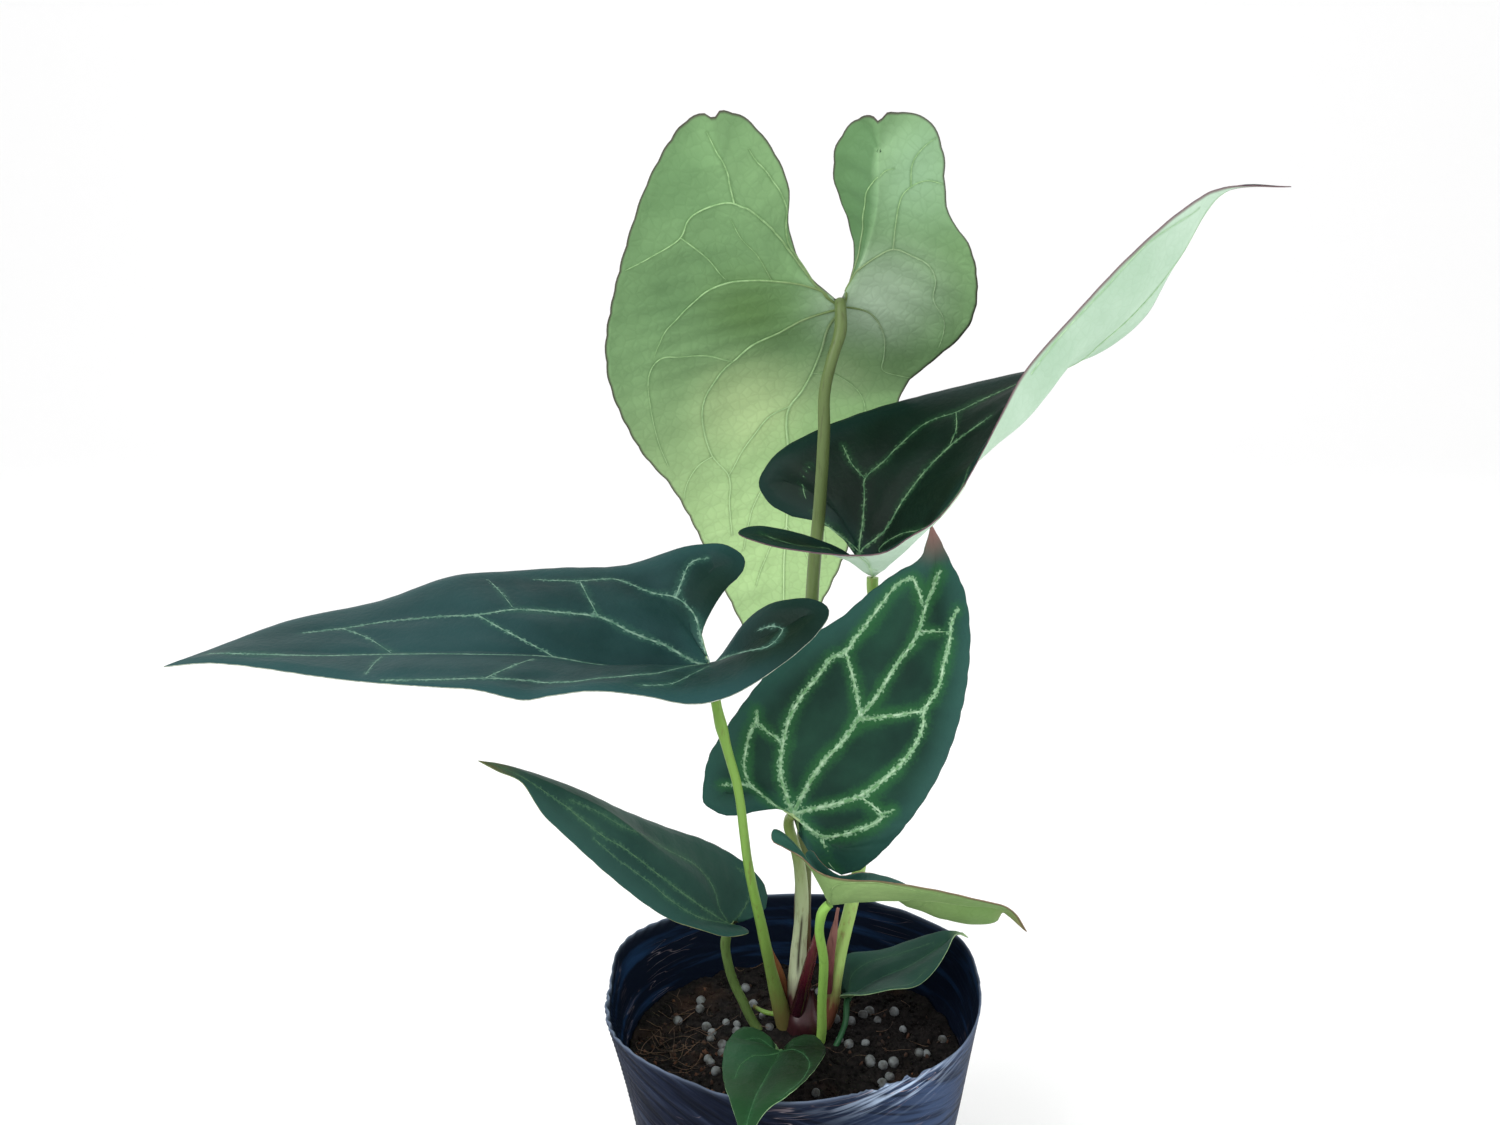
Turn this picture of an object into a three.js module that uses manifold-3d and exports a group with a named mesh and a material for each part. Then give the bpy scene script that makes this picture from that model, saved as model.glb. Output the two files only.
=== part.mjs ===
// A potted crystal anthurium: eight heart-shaped leaves on long petioles, rising from one short stem
// in a soft black nursery pot. Millimetres, +Z up, origin at the centre of the pot's flat base, with
// the side that is seen first toward -Y.
import * as THREE from "three";
import { mergeVertices } from "three/addons/utils/BufferGeometryUtils.js";
import Module from "manifold-3d";

const wasm = await Module();
wasm.setup();

// Driving dimensions of the pot. Its soft rim has gone out of round: the flare is how far it stands
// out, every 30 degrees from +X. At the front right the rim is torn and a strip of it stands up.
const POT_HEIGHT = 110;
const POT_RIM_RADIUS = 65;
const POT_BASE_RADIUS = 47;
const POT_WALL = 0.9;
const RIM_FLARE = [0, 4, 2, 1, 2, 6, 0, 4, 1, 1, 0, 0];
const POT_SECTORS = 48;
const WALL_LEVELS = [0, 40, 75, 95, 103];
const RIM_UNEVENNESS = 0.9;
const WALL_WAVE = 0.4;
const TEAR = { angle: -65, spread: 20, lift: 3 };
const DRAIN = { holes: 6, radius: 4, ring: 32, sides: 12 };

// Driving dimensions of the potting mix and the feed pellets in it
const SOIL_LEVEL = 82;
const SOIL_MOUND = { height: 5, reach: 26 };
const SOIL_ROUGHNESS = 0.8;
const SOIL_RINGS = 5;
const PELLETS = { count: 36, radius: 1.9, spread: 0.15, proud: 0.3, reach: 54, clear: 13, seed: 7 };

// Driving dimensions that all leaves share
const BLADE_THICKNESS = 0.8;
// The clear space kept round a neighbour, and how far short of the midrib's foot a petiole ends
const GAP = 0.3;
const SEAT_SETBACK = 0.8;
// How far a side vein slants from the midrib, in degrees
const VEIN_SLANT = 62;
// The shares of a margin's length between which it is searched for the point level with the petiole,
// and how far ahead along the midrib the leaf's direction is taken there
const LEVEL_SEARCH = { from: 0.7, to: 0.3, step: 0.01, ahead: 0.08 };
// How much of the way to a lobe's tip, and on from it, the rulings turn round the end of its vein
const LOBE_TURN = { before: 0.75, after: 0.3 };
const PETIOLE_SIDES = 9;
const ROD_STEP = 14;

// The short stem that the petioles rise from, mostly below the potting mix
const CROWN = { path: [[2, 10, 52], [2, 10, 74], [4, 9, 92], [6, 8, 102]], radii: [5, 8.5, 9, 5] };

// The dry and red sheaths that stand by the petioles
const SHEATHS = [
  {
    name: "new_shoot",
    path: [[1, 6, 94], [4, 3, 111], [7, 1, 126], [8, 0, 136]],
    radii: [2.8, 2, 0.7],
    color: 0x6e1d28,
  },
  {
    name: "sheath_right",
    path: [[11, 9, 101], [13, 9, 119], [15, 8, 134]],
    radii: [2.6, 1.8, 0.6],
    color: 0x8a5a50,
  },
  {
    name: "sheath_left",
    path: [[-3, 13, 91], [-6, 11, 106], [-9, 7, 122]],
    radii: [2.2, 1.6, 0.5],
    color: 0x7b4a35,
  },
];

// The leaves, from the back of the plant to the front. A petiole is a path from the stem to its blade,
// with its radius at the foot, halfway and at the top. One has a stub of root at its foot. A blade hangs
// on three rails that start where the petiole meets it: the midrib, and the right and the left margin
// as seen from above with the tip ahead, each of them round its basal lobe to the tip. The lobes give
// the vein in each of the two. The cup is how far each half swells toward its upper face or, below
// zero, sags from it, as a share of its width, in even steps from the lobe to the tip. The mesh gives
// the steps along and round each lobe, along the midrib, and across each half.
const LEAVES = [
  {
    name: "leaf_back",
    petiole: [
      [3, 12, 88], [3, 15, 99], [3, 20, 129], [4, 20, 185], [5, 15, 249], [7, 12, 280],
      [8, 12, 303], [8, 12, 315], [10, 12, 325], [13, 14, 335], [13, 16, 343],
    ],
    radii: [3.3, 2.3, 1.9],
    midrib: [[13, 18, 344], [6, 40, 324], [-2, 55, 305], [-3, 70, 270], [-2, 80, 228], [-6, 84, 189]],
    right: [
      [13, 18, 344], [16, 17, 351], [17, 15, 360], [14, 12, 371], [10, 10, 381], [10, 6, 391],
      [15, 2, 398], [22, -8, 399], [30, -3, 400], [38, 1, 398], [43, 4, 389], [44, 6, 380],
      [46, 8, 371], [53, 11, 362], [56, 14, 355], [58, 22, 343], [56, 30, 334], [45, 40, 322],
      [39, 47, 315], [32, 62, 286], [19, 76, 243], [-6, 84, 189],
    ],
    left: [
      [13, 18, 344], [9, 18, 347], [1, 16, 355], [-4, 13, 368], [-4, 10, 379], [-9, 6, 390],
      [-18, 0, 399], [-27, -7, 400], [-34, -6, 398], [-39, -2, 394], [-48, 4, 380], [-55, 10, 363],
      [-61, 19, 345], [-65, 30, 328], [-64, 38, 313], [-55, 51, 290], [-46, 57, 278],
      [-39, 65, 264], [-22, 80, 223], [-6, 84, 189],
    ],
    lobes: {
      right: [[13, 18, 344], [20, 12, 358], [23, 0, 375], [22, -7, 388]],
      left: [[13, 18, 344], [-3, 14, 353], [-15, 4, 368], [-25, -5, 385]],
    },
    cup: { right: [0.02, 0.05, 0.05, 0.03], left: [0.02, 0.05, 0.05, 0.03] },
    mesh: { lobe: 4, round: 3, fore: 11, across: 4 },
    colors: { blade: 0x5d7a3f, petiole: 0x7a8350 },
  },
  {
    name: "leaf_right",
    petiole: [
      [10, 10, 86], [13, 11, 94], [14, 12, 102], [17, 14, 117], [20, 17, 128], [24, 22, 146],
      [26, 22, 188], [26, 18, 223], [26, 14, 242], [25, 12, 251],
    ],
    radii: [3.8, 2.7, 2],
    midrib: [
      [25, 12, 254], [28, 13, 265], [35, 14, 278], [50, 16, 296], [66, 18, 308], [87, 18, 323],
      [105, 16, 338], [119, 12, 357], [131, 8, 378], [150, 4, 379],
    ],
    right: [
      [25, 12, 254], [15, 5, 264], [6, 0, 269], [-3, -6, 273], [-15, -12, 276], [-20, -18, 275],
      [-11, -26, 273], [4, -33, 272], [15, -36, 272], [24, -36, 273], [31, -34, 277],
      [38, -32, 281], [45, -29, 288], [52, -24, 298], [61, -16, 313], [68, -10, 324],
      [84, -6, 342], [100, -4, 359], [117, 0, 373], [130, 6, 379], [150, 4, 379],
    ],
    left: [
      [25, 12, 254], [18, 16, 262], [14, 20, 267], [6, 27, 270], [-3, 33, 271], [-10, 38, 275],
      [-13, 41, 281], [-7, 42, 291], [7, 44, 299], [26, 46, 306], [40, 46, 310], [59, 44, 315],
      [79, 40, 320], [93, 36, 323], [103, 30, 328], [114, 24, 339], [119, 18, 353], [126, 12, 370],
      [132, 9, 378], [150, 4, 379],
    ],
    lobes: {
      right: [[25, 12, 254], [8, -8, 267], [-5, -14, 272], [-13, -17, 274]],
      left: [[25, 12, 254], [17, 22, 270], [4, 33, 280], [-4, 38, 282]],
    },
    cup: { right: [-0.03, -0.03, -0.02, -0.03, -0.3, -0.15, -0.05], left: [0.04, 0.04, 0, -0.05] },
    mesh: { lobe: 4, round: 3, fore: 11, across: 4 },
    colors: { blade: 0x1d4a3d, petiole: 0xa3bc63 },
  },
  {
    name: "leaf_long",
    petiole: [
      [-2, 10, 82], [-4, 8, 90], [-8, 3, 109], [-12, -5, 133], [-17, -14, 163], [-20, -18, 190],
      [-24, -18, 206], [-27, -15, 218], [-28, -12, 224],
    ],
    radii: [4, 2.3, 1.9],
    stub: { path: [[-15, 13, 92], [-11, 11, 91], [-5, 9, 91]], radii: [0.7, 0.8, 0.9] },
    midrib: [
      [-29, -10, 230], [-45, -14, 230], [-60, -18, 232], [-78, -24, 237], [-106, -30, 240],
      [-137, -38, 242], [-167, -46, 245], [-186, -50, 242],
    ],
    right: [
      [-29, -10, 230], [-31, -6, 234], [-32, -2, 238], [-30, 4, 242], [-28, 8, 245],
      [-24, 12, 250], [-19, 16, 254], [-18, 20, 258], [-24, 24, 262], [-37, 28, 261],
      [-60, 28, 254], [-82, 24, 254], [-98, 19, 254], [-116, 12, 254], [-138, 2, 248],
      [-162, -15, 246], [-178, -36, 243], [-186, -50, 242],
    ],
    left: [
      [-29, -10, 230], [-26, -12, 233], [-22, -13, 239], [-18, -14, 245], [-10, -17, 252],
      [3, -22, 255], [8, -28, 253], [4, -36, 248], [-11, -48, 239], [-23, -54, 234],
      [-33, -57, 233], [-47, -58, 236], [-61, -60, 238], [-72, -61, 237], [-80, -62, 236],
      [-93, -62, 239], [-106, -62, 240], [-131, -59, 241], [-170, -53, 244], [-186, -50, 242],
    ],
    lobes: {
      right: [[-29, -10, 230], [-36, 1, 239], [-35, 10, 248], [-28, 18, 255]],
      left: [[-29, -10, 230], [-21, -22, 237], [-10, -27, 245], [1, -26, 250]],
    },
    cup: { right: [0.05, 0.06, 0.05, 0.03], left: [0.05, 0.06, 0.05, 0.03] },
    mesh: { lobe: 4, round: 3, fore: 11, across: 4 },
    colors: { blade: 0x16392f, petiole: 0x8fae3e },
  },
  {
    name: "leaf_bright",
    petiole: [
      [3, 9, 89], [1, 9, 97], [1, 8, 114], [2, 4, 137], [1, 1, 153], [-1, -2, 163], [-3, -3, 170],
      [-3, -5, 174],
    ],
    radii: [3.8, 2.4, 1.6],
    midrib: [
      [-2, -8, 177], [8, -8, 194], [20, -4, 209], [30, 0, 223], [38, 4, 234], [45, 10, 255],
      [44, 12, 272],
    ],
    right: [
      [-2, -8, 177], [1, -11, 169], [7, -13, 162], [16, -14, 158], [24, -14, 163], [34, -12, 173],
      [43, -9, 185], [49, -6, 196], [53, -4, 208], [56, 0, 221], [57, 4, 238], [55, 8, 251],
      [51, 10, 259], [47, 12, 267], [44, 12, 272],
    ],
    left: [
      [-2, -8, 177], [-6, -6, 178], [-14, -3, 176], [-20, -2, 174], [-26, -1, 174], [-32, 0, 178],
      [-32, 0, 184], [-30, -1, 195], [-24, -3, 206], [-19, -4, 214], [-11, -5, 225], [0, -4, 236],
      [13, -1, 243], [23, 2, 251], [32, 5, 257], [40, 8, 261], [42, 10, 265], [43, 11, 268],
      [44, 12, 272],
    ],
    lobes: {
      right: [[-2, -8, 177], [4, -11, 173], [12, -13, 167]],
      left: [[-2, -8, 177], [-12, -5, 182], [-24, -1, 182]],
    },
    cup: { right: [0.05, 0.06, 0.05, 0.03], left: [0.05, 0.06, 0.05, 0.03] },
    mesh: { lobe: 4, round: 3, fore: 10, across: 4 },
    colors: { blade: 0x2f6a48, petiole: 0x5f7038 },
  },
  {
    name: "leaf_low_left",
    petiole: [
      [-1, 8, 71], [-8, 8, 79], [-15, 9, 88], [-19, 9, 97], [-22, 9, 104], [-24, 8, 112],
      [-25, 7, 120], [-24, 5, 127],
    ],
    radii: [2, 1.9, 1.7],
    midrib: [
      [-23, 4, 130], [-33, 0, 147], [-47, -6, 163], [-62, -14, 180], [-77, -20, 191],
      [-92, -26, 201], [-101, -30, 205],
    ],
    right: [
      [-23, 4, 130], [-17, 9, 129], [-11, 14, 130], [-10, 18, 135], [-15, 21, 142], [-23, 22, 148],
      [-33, 19, 155], [-43, 14, 161], [-53, 8, 168], [-71, -4, 182], [-80, -11, 190],
      [-90, -22, 199], [-96, -27, 203], [-101, -30, 205],
    ],
    left: [
      [-23, 4, 130], [-19, 2, 130], [-17, -2, 131], [-17, -6, 132], [-24, -10, 133],
      [-33, -14, 138], [-42, -17, 143], [-50, -20, 150], [-62, -24, 163], [-74, -27, 177],
      [-82, -29, 187], [-88, -30, 198], [-95, -31, 202], [-101, -30, 205],
    ],
    lobes: {
      right: [[-23, 4, 130], [-18, 11, 132], [-14, 16, 135]],
      left: [[-23, 4, 130], [-22, -2, 132], [-19, -4, 132]],
    },
    cup: { right: [0.04, 0.05, 0.04, 0.02], left: [0.04, 0.05, 0.04, 0.02] },
    mesh: { lobe: 3, round: 3, fore: 9, across: 3 },
    colors: { blade: 0x1d3d33, petiole: 0x86a05a },
  },
  {
    name: "leaf_folded",
    petiole: [[6, 5, 74], [9, 1, 86], [9, -4, 105], [9, -10, 124], [7, -16, 139], [8, -21, 149]],
    radii: [1.8, 1.6, 1.5],
    midrib: [
      [10, -22, 152], [20, -21, 153], [37, -20, 153], [52, -20, 151], [66, -22, 150],
      [74, -26, 144],
    ],
    right: [
      [10, -22, 152], [8, -21, 156], [4, -19, 163], [-1, -17, 170], [-6, -17, 175], [-9, -20, 177],
      [-9, -24, 175], [-6, -26, 174], [0, -29, 172], [5, -31, 168], [12, -34, 167], [26, -36, 167],
      [43, -36, 164], [57, -33, 159], [66, -30, 155], [70, -28, 151], [74, -26, 144],
    ],
    left: [
      [10, -22, 152], [7, -19, 157], [4, -17, 163], [2, -16, 167], [4, -16, 168], [7, -18, 165],
      [13, -20, 161], [19, -18, 161], [26, -9, 156], [39, 1, 146], [49, -4, 138], [58, -10, 138],
      [66, -16, 142], [67, -20, 148], [74, -26, 144],
    ],
    lobes: {
      right: [[10, -22, 152], [6, -24, 161], [1, -24, 170], [-4, -22, 174]],
      left: [[10, -22, 152], [8, -20, 157], [6, -18, 160], [4, -17, 164]],
    },
    cup: { right: [0, -0.1, -0.1, -0.05], left: [0, -0.1, -0.2, -0.1] },
    mesh: { lobe: 3, round: 3, fore: 9, across: 3 },
    colors: { blade: 0x56683a, petiole: 0x7fbf2a },
  },
  {
    name: "leaf_inner",
    petiole: [[6, 5, 69], [13, -2, 83], [18, 4, 91], [19, 10, 96]],
    radii: [1.1, 1, 1],
    midrib: [[20, 12, 96], [29, 13, 102], [40, 15, 106], [56, 19, 114], [61, 21, 117], [64, 21, 115]],
    right: [
      [20, 12, 96], [18, 10, 97], [16, 6, 100], [17, 1, 104], [24, -2, 106], [33, -2, 108],
      [43, 2, 107], [50, 6, 111], [55, 12, 115], [59, 18, 118], [64, 21, 115],
    ],
    left: [
      [20, 12, 96], [18, 17, 95], [16, 21, 99], [17, 25, 103], [21, 27, 105], [33, 28, 106],
      [45, 27, 111], [55, 24, 116], [60, 22, 117], [64, 21, 115],
    ],
    lobes: {
      right: [[20, 12, 96], [19, 9, 99], [18, 6, 101]],
      left: [[20, 12, 96], [18, 18, 98], [18, 22, 100]],
    },
    cup: { right: [0.04, 0.05, 0.04, 0.02], left: [0.04, 0.05, 0.04, 0.02] },
    mesh: { lobe: 3, round: 3, fore: 7, across: 3 },
    colors: { blade: 0x274a38, petiole: 0x3f7a45 },
  },
  {
    name: "leaf_front",
    petiole: [[0, 4, 73], [1, -2, 81], [-2, -10, 87], [-5, -18, 91]],
    radii: [1.3, 1.2, 1.2],
    midrib: [
      [-6, -22, 97], [-9, -36, 101], [-12, -52, 107], [-15, -67, 112], [-17, -77, 111],
      [-18, -85, 104],
    ],
    right: [
      [-6, -22, 97], [-8, -18, 98], [-11, -14, 99], [-18, -15, 102], [-23, -23, 103],
      [-25, -41, 107], [-24, -59, 111], [-22, -70, 113], [-20, -77, 111], [-18, -85, 104],
    ],
    left: [
      [-6, -22, 97], [-4, -18, 97], [0, -15, 98], [5, -15, 99], [9, -24, 100], [6, -40, 105],
      [1, -54, 109], [-5, -67, 113], [-12, -75, 113], [-16, -81, 109], [-18, -85, 104],
    ],
    lobes: {
      right: [[-6, -22, 97], [-11, -20, 98], [-16, -21, 100]],
      left: [[-6, -22, 97], [-2, -21, 98], [3, -23, 99]],
    },
    cup: { right: [0.05, 0.06, 0.05, 0.03], left: [0.05, 0.06, 0.05, 0.03] },
    mesh: { lobe: 3, round: 3, fore: 7, across: 3 },
    colors: { blade: 0x2a5a3a, petiole: 0x4a7a40 },
  },
];

// A smooth curve through hand-set points, by its length
const rail = (points) =>
  new THREE.CatmullRomCurve3(points.map((p) => new THREE.Vector3(...p)), false, "centripetal");

// A value that runs through a list as u goes from 0 to 1, in smooth steps
function along(values, u) {
  const at = THREE.MathUtils.clamp(u, 0, 1) * (values.length - 1);
  const i = Math.min(Math.floor(at), values.length - 2);
  return THREE.MathUtils.lerp(values[i], values[i + 1], THREE.MathUtils.smoothstep(at - i, 0, 1));
}

// A closed geometry from its points and triangles
function closedGeometry(points, triangles) {
  const geometry = new THREE.BufferGeometry();
  const positions = points.flatMap((p) => [p.x, p.y, p.z]);
  geometry.setAttribute("position", new THREE.Float32BufferAttribute(positions, 3));
  geometry.setIndex(triangles.flat());
  return geometry;
}

// A geometry as a solid that can be joined and cut
function toSolid(geometry) {
  const bare = geometry.clone();
  bare.deleteAttribute("normal");
  bare.deleteAttribute("uv");
  const merged = mergeVertices(bare, 1e-4);
  const vertProperties = new Float32Array(merged.getAttribute("position").array);
  const triVerts = new Uint32Array(merged.index.array);
  return new wasm.Manifold(new wasm.Mesh({ numProp: 3, vertProperties, triVerts }));
}

// A solid back as a geometry
function fromSolid(solid) {
  const mesh = solid.getMesh();
  const geometry = new THREE.BufferGeometry();
  geometry.setAttribute("position", new THREE.BufferAttribute(new Float32Array(mesh.vertProperties), 3));
  geometry.setIndex(new THREE.BufferAttribute(new Uint32Array(mesh.triVerts), 1));
  return geometry;
}

// What is left of a solid after its neighbours are cut away, without the scraps beyond them
function cutClear(solid, neighbours) {
  const pieces = neighbours.reduce((rest, other) => rest.subtract(other), solid).decompose();
  return pieces.reduce((best, piece) => (piece.volume() > best.volume() ? piece : best));
}

// One half of a blade's bent sheet, from shares of its margin's length
class HalfSheet {
  constructor(leaf, side) {
    this.side = side;
    this.midrib = rail(leaf.midrib);
    this.margin = rail(leaf[side]);
    this.vein = rail(leaf.lobes[side]);
    this.cup = [0, ...leaf.cup[side], 0];
    this.fan = this.levelShare();
    this.lobeTip = this.farthestShare();
  }

  // Where the margin comes level with the petiole, seen slanting forward as the side veins run
  levelShare() {
    const seat = this.midrib.getPoint(0);
    const ahead = this.midrib.getPointAt(LEVEL_SEARCH.ahead).sub(seat).normalize();
    const slant = Math.cos(THREE.MathUtils.degToRad(VEIN_SLANT));
    for (let t = LEVEL_SEARCH.from; t > LEVEL_SEARCH.to; t -= LEVEL_SEARCH.step)
      if (this.margin.getPointAt(t).sub(seat).normalize().dot(ahead) < slant) return t;
    return LEVEL_SEARCH.to;
  }

  // Where the margin lies farthest out along the lobe's vein
  farthestShare() {
    const end = this.vein.getPoint(1);
    const out = end.clone().sub(this.vein.getPointAt(0.6)).normalize();
    const reach = (t) => this.margin.getPointAt(t).sub(end).dot(out);
    let best = 0;
    for (let t = 0; t < this.fan; t += LEVEL_SEARCH.step) if (reach(t) > reach(best)) best = t;
    return best;
  }

  // The point at share b of the ruling that runs from a foot to share t of the margin
  point(foot, t, b) {
    const ruling = this.margin.getPointAt(t).sub(foot);
    const up = ruling.clone().cross(this.margin.getTangentAt(t)).normalize();
    if (this.side === "left") up.negate();
    const swell = along(this.cup, t) * ruling.length() * 4 * b * (1 - b);
    return foot.clone().addScaledVector(ruling, b).addScaledVector(up, swell);
  }
}

// The solid of a blade: its sheet thickened to both sides, in the same triangles on both faces. Its
// rulings leave the vein of the lobe for the edge of the sinus, turn round the vein's end, come back
// down its outer side to the petiole, and then leave the midrib one after the other up to the tip.
function bladeGeometry(leaf, thickness) {
  const { lobe, round, fore, across } = leaf.mesh;
  const midrib = rail(leaf.midrib);
  const points = Array.from({ length: fore + 1 }, (_, k) => midrib.getPointAt(k / fore));
  const triangles = [];
  for (const side of ["right", "left"]) {
    const half = new HalfSheet(leaf, side);
    const vein = [0];
    for (let k = 1; k <= lobe; k += 1) vein.push(points.push(half.vein.getPointAt(k / lobe)) - 1);
    const { lerp } = THREE.MathUtils;
    const inner = lerp(0, half.lobeTip, LOBE_TURN.before);
    const outer = lerp(half.lobeTip, half.fan, LOBE_TURN.after);
    const rulings = [];
    for (let k = 1; k <= lobe; k += 1) rulings.push([vein[k], lerp(0, inner, k / lobe)]);
    for (let k = 1; k <= round; k += 1) rulings.push([vein[lobe], lerp(inner, outer, k / round)]);
    for (let k = 1; k <= lobe; k += 1) rulings.push([vein[lobe - k], lerp(outer, half.fan, k / lobe)]);
    for (let k = 1; k < fore; k += 1) rulings.push([k, lerp(half.fan, 1, k / fore)]);
    const rows = rulings.map(([foot, t]) => {
      const row = [foot];
      for (let j = 1; j <= across; j += 1) row.push(points.push(half.point(points[foot], t, j / across)) - 1);
      return row;
    });
    rows.unshift(new Array(across + 1).fill(0));
    rows.push(new Array(across + 1).fill(fore));
    for (let i = 0; i < rows.length - 1; i += 1)
      for (let j = 0; j < across; j += 1) {
        const [a, b, c, d] = [rows[i][j], rows[i][j + 1], rows[i + 1][j + 1], rows[i + 1][j]];
        for (const t of [[a, b, c], [a, c, d]])
          if (new Set(t).size === 3) triangles.push(side === "right" ? t : t.reverse());
      }
  }
  return thickened(points, triangles, thickness);
}

// An open sheet of triangles made a closed plate of even thickness
function thickened(points, triangles, thickness) {
  const normals = points.map(() => new THREE.Vector3());
  for (const t of triangles) {
    const [a, b, c] = t.map((k) => points[k]);
    const normal = b.clone().sub(a).cross(c.clone().sub(a)).normalize();
    t.forEach((k) => normals[k].add(normal));
  }
  normals.forEach((normal) => normal.normalize());
  const offset = (share) => points.map((p, k) => p.clone().addScaledVector(normals[k], share));
  const count = points.length;
  const edges = new Set(triangles.flatMap(([a, b, c]) => [`${a},${b}`, `${b},${c}`, `${c},${a}`]));
  const walls = [];
  for (const edge of edges) {
    const [a, b] = edge.split(",").map(Number);
    if (!edges.has(`${b},${a}`)) walls.push([b, a, a + count], [b, a + count, b + count]);
  }
  const below = triangles.map(([a, b, c]) => [a + count, c + count, b + count]);
  const faces = [...offset(thickness / 2), ...offset(-thickness / 2)];
  return closedGeometry(faces, [...triangles, ...below, ...walls]);
}

// A round rod along a smooth path, with its radius at the foot, halfway and at the top
function rodGeometry(path, radii, extra = 0) {
  const curve = rail(path);
  const steps = Math.max(5, Math.round(curve.getLength() / ROD_STEP));
  const frames = curve.computeFrenetFrames(steps, false);
  const points = [];
  const triangles = [];
  const sides = PETIOLE_SIDES;
  for (let i = 0; i <= steps; i += 1) {
    const radius = along(radii, i / steps) + extra;
    const beyond = i === 0 ? -extra : i === steps ? extra : 0;
    for (let j = 0; j < sides; j += 1) {
      const angle = (2 * Math.PI * j) / sides;
      const p = curve.getPointAt(i / steps).addScaledVector(frames.tangents[i], beyond);
      p.addScaledVector(frames.normals[i], radius * Math.cos(angle));
      points.push(p.addScaledVector(frames.binormals[i], radius * Math.sin(angle)));
    }
  }
  for (let i = 0; i < steps; i += 1)
    for (let j = 0; j < sides; j += 1) {
      const [a, b] = [i * sides + j, i * sides + ((j + 1) % sides)];
      triangles.push([a, b, b + sides], [a, b + sides, a + sides]);
    }
  const top = steps * sides;
  for (let j = 1; j < sides - 1; j += 1) triangles.push([0, j + 1, j], [top, top + j, top + j + 1]);
  return closedGeometry(points, triangles);
}

// The path of a petiole, carried on to end close under its blade
function stalkPath(leaf) {
  const [last, seat] = [leaf.petiole.at(-1), leaf.midrib[0]].map((p) => new THREE.Vector3(...p));
  seat.lerp(last, SEAT_SETBACK / seat.distanceTo(last));
  return [...leaf.petiole, seat.toArray()];
}

// The pot's outside radius: a slight taper, the slack of a soft wall, and the flare toward the rim
function potRadius(z, angle) {
  const rise = z / POT_HEIGHT;
  const slack = WALL_WAVE * rise * (Math.sin(4 * angle + 1) + 0.6 * Math.sin(5 * angle + 2 + z / 30));
  const flare = along([...RIM_FLARE, RIM_FLARE[0]], angle / (2 * Math.PI)) * rise ** 4;
  return THREE.MathUtils.lerp(POT_BASE_RADIUS, POT_RIM_RADIUS, rise) + slack + flare;
}

// The height of the uneven rim, with the torn strip
function rimHeight(angle) {
  const degrees = THREE.MathUtils.radToDeg(angle);
  const fromTear = THREE.MathUtils.euclideanModulo(degrees - TEAR.angle + 180, 360) - 180;
  const tear = TEAR.lift * Math.exp(-((fromTear / TEAR.spread) ** 2));
  const wave = 0.6 * Math.sin(2 * angle + 0.5) + 0.4 * Math.sin(7 * angle) - 0.6;
  return POT_HEIGHT + RIM_UNEVENNESS * wave + tear;
}

// A closed body from a profile of rings, each with its radius and height by angle
function turned(profile) {
  const points = [new THREE.Vector3(0, 0, profile[0].z), new THREE.Vector3(0, 0, profile.at(-1).z)];
  const triangles = [];
  const n = POT_SECTORS;
  for (const ring of profile)
    for (let j = 0; j < n; j += 1) {
      const angle = (2 * Math.PI * j) / n;
      const r = ring.radius(angle);
      points.push(new THREE.Vector3(r * Math.cos(angle), r * Math.sin(angle), ring.height(angle)));
    }
  const at = (i, j) => 2 + i * n + (j % n);
  for (let j = 0; j < n; j += 1) {
    triangles.push([0, at(0, j + 1), at(0, j)]);
    triangles.push([1, at(profile.length - 1, j), at(profile.length - 1, j + 1)]);
    for (let i = 0; i < profile.length - 1; i += 1) {
      const [a, b, c, d] = [at(i, j), at(i, j + 1), at(i + 1, j + 1), at(i + 1, j)];
      triangles.push([a, b, c], [a, c, d]);
    }
  }
  return closedGeometry(points, triangles);
}

// One ring of a turned body, level at height z, at the pot's outside radius less an inset
const levelRing = (z, inset) => ({ z, height: () => z, radius: (angle) => potRadius(z, angle) - inset });

// The pot: floor with drain holes, thin wall, uneven rim
function potSolid() {
  const outside = WALL_LEVELS.map((z) => levelRing(z, 0));
  const inside = WALL_LEVELS.map((z) => levelRing(Math.max(z, POT_WALL), POT_WALL)).reverse();
  const lip = (inset) => ({ height: rimHeight, radius: (angle) => potRadius(POT_HEIGHT, angle) - inset });
  const body = toSolid(turned([...outside, lip(0), lip(POT_WALL), ...inside]));
  const holes = [];
  for (let k = 0; k < DRAIN.holes; k += 1) {
    const hole = new THREE.CylinderGeometry(DRAIN.radius, DRAIN.radius, 4 * POT_WALL, DRAIN.sides);
    hole.rotateX(Math.PI / 2);
    const angle = (2 * Math.PI * k) / DRAIN.holes;
    hole.translate(DRAIN.ring * Math.cos(angle), DRAIN.ring * Math.sin(angle), 0);
    holes.push(toSolid(hole));
  }
  return holes.reduce((pot, hole) => pot.subtract(hole), body);
}

// A repeatable random number from 0 to 1
function seeded(seed) {
  let state = seed;
  return () => {
    state = (state * 16807) % 2147483647;
    return state / 2147483647;
  };
}

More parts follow.
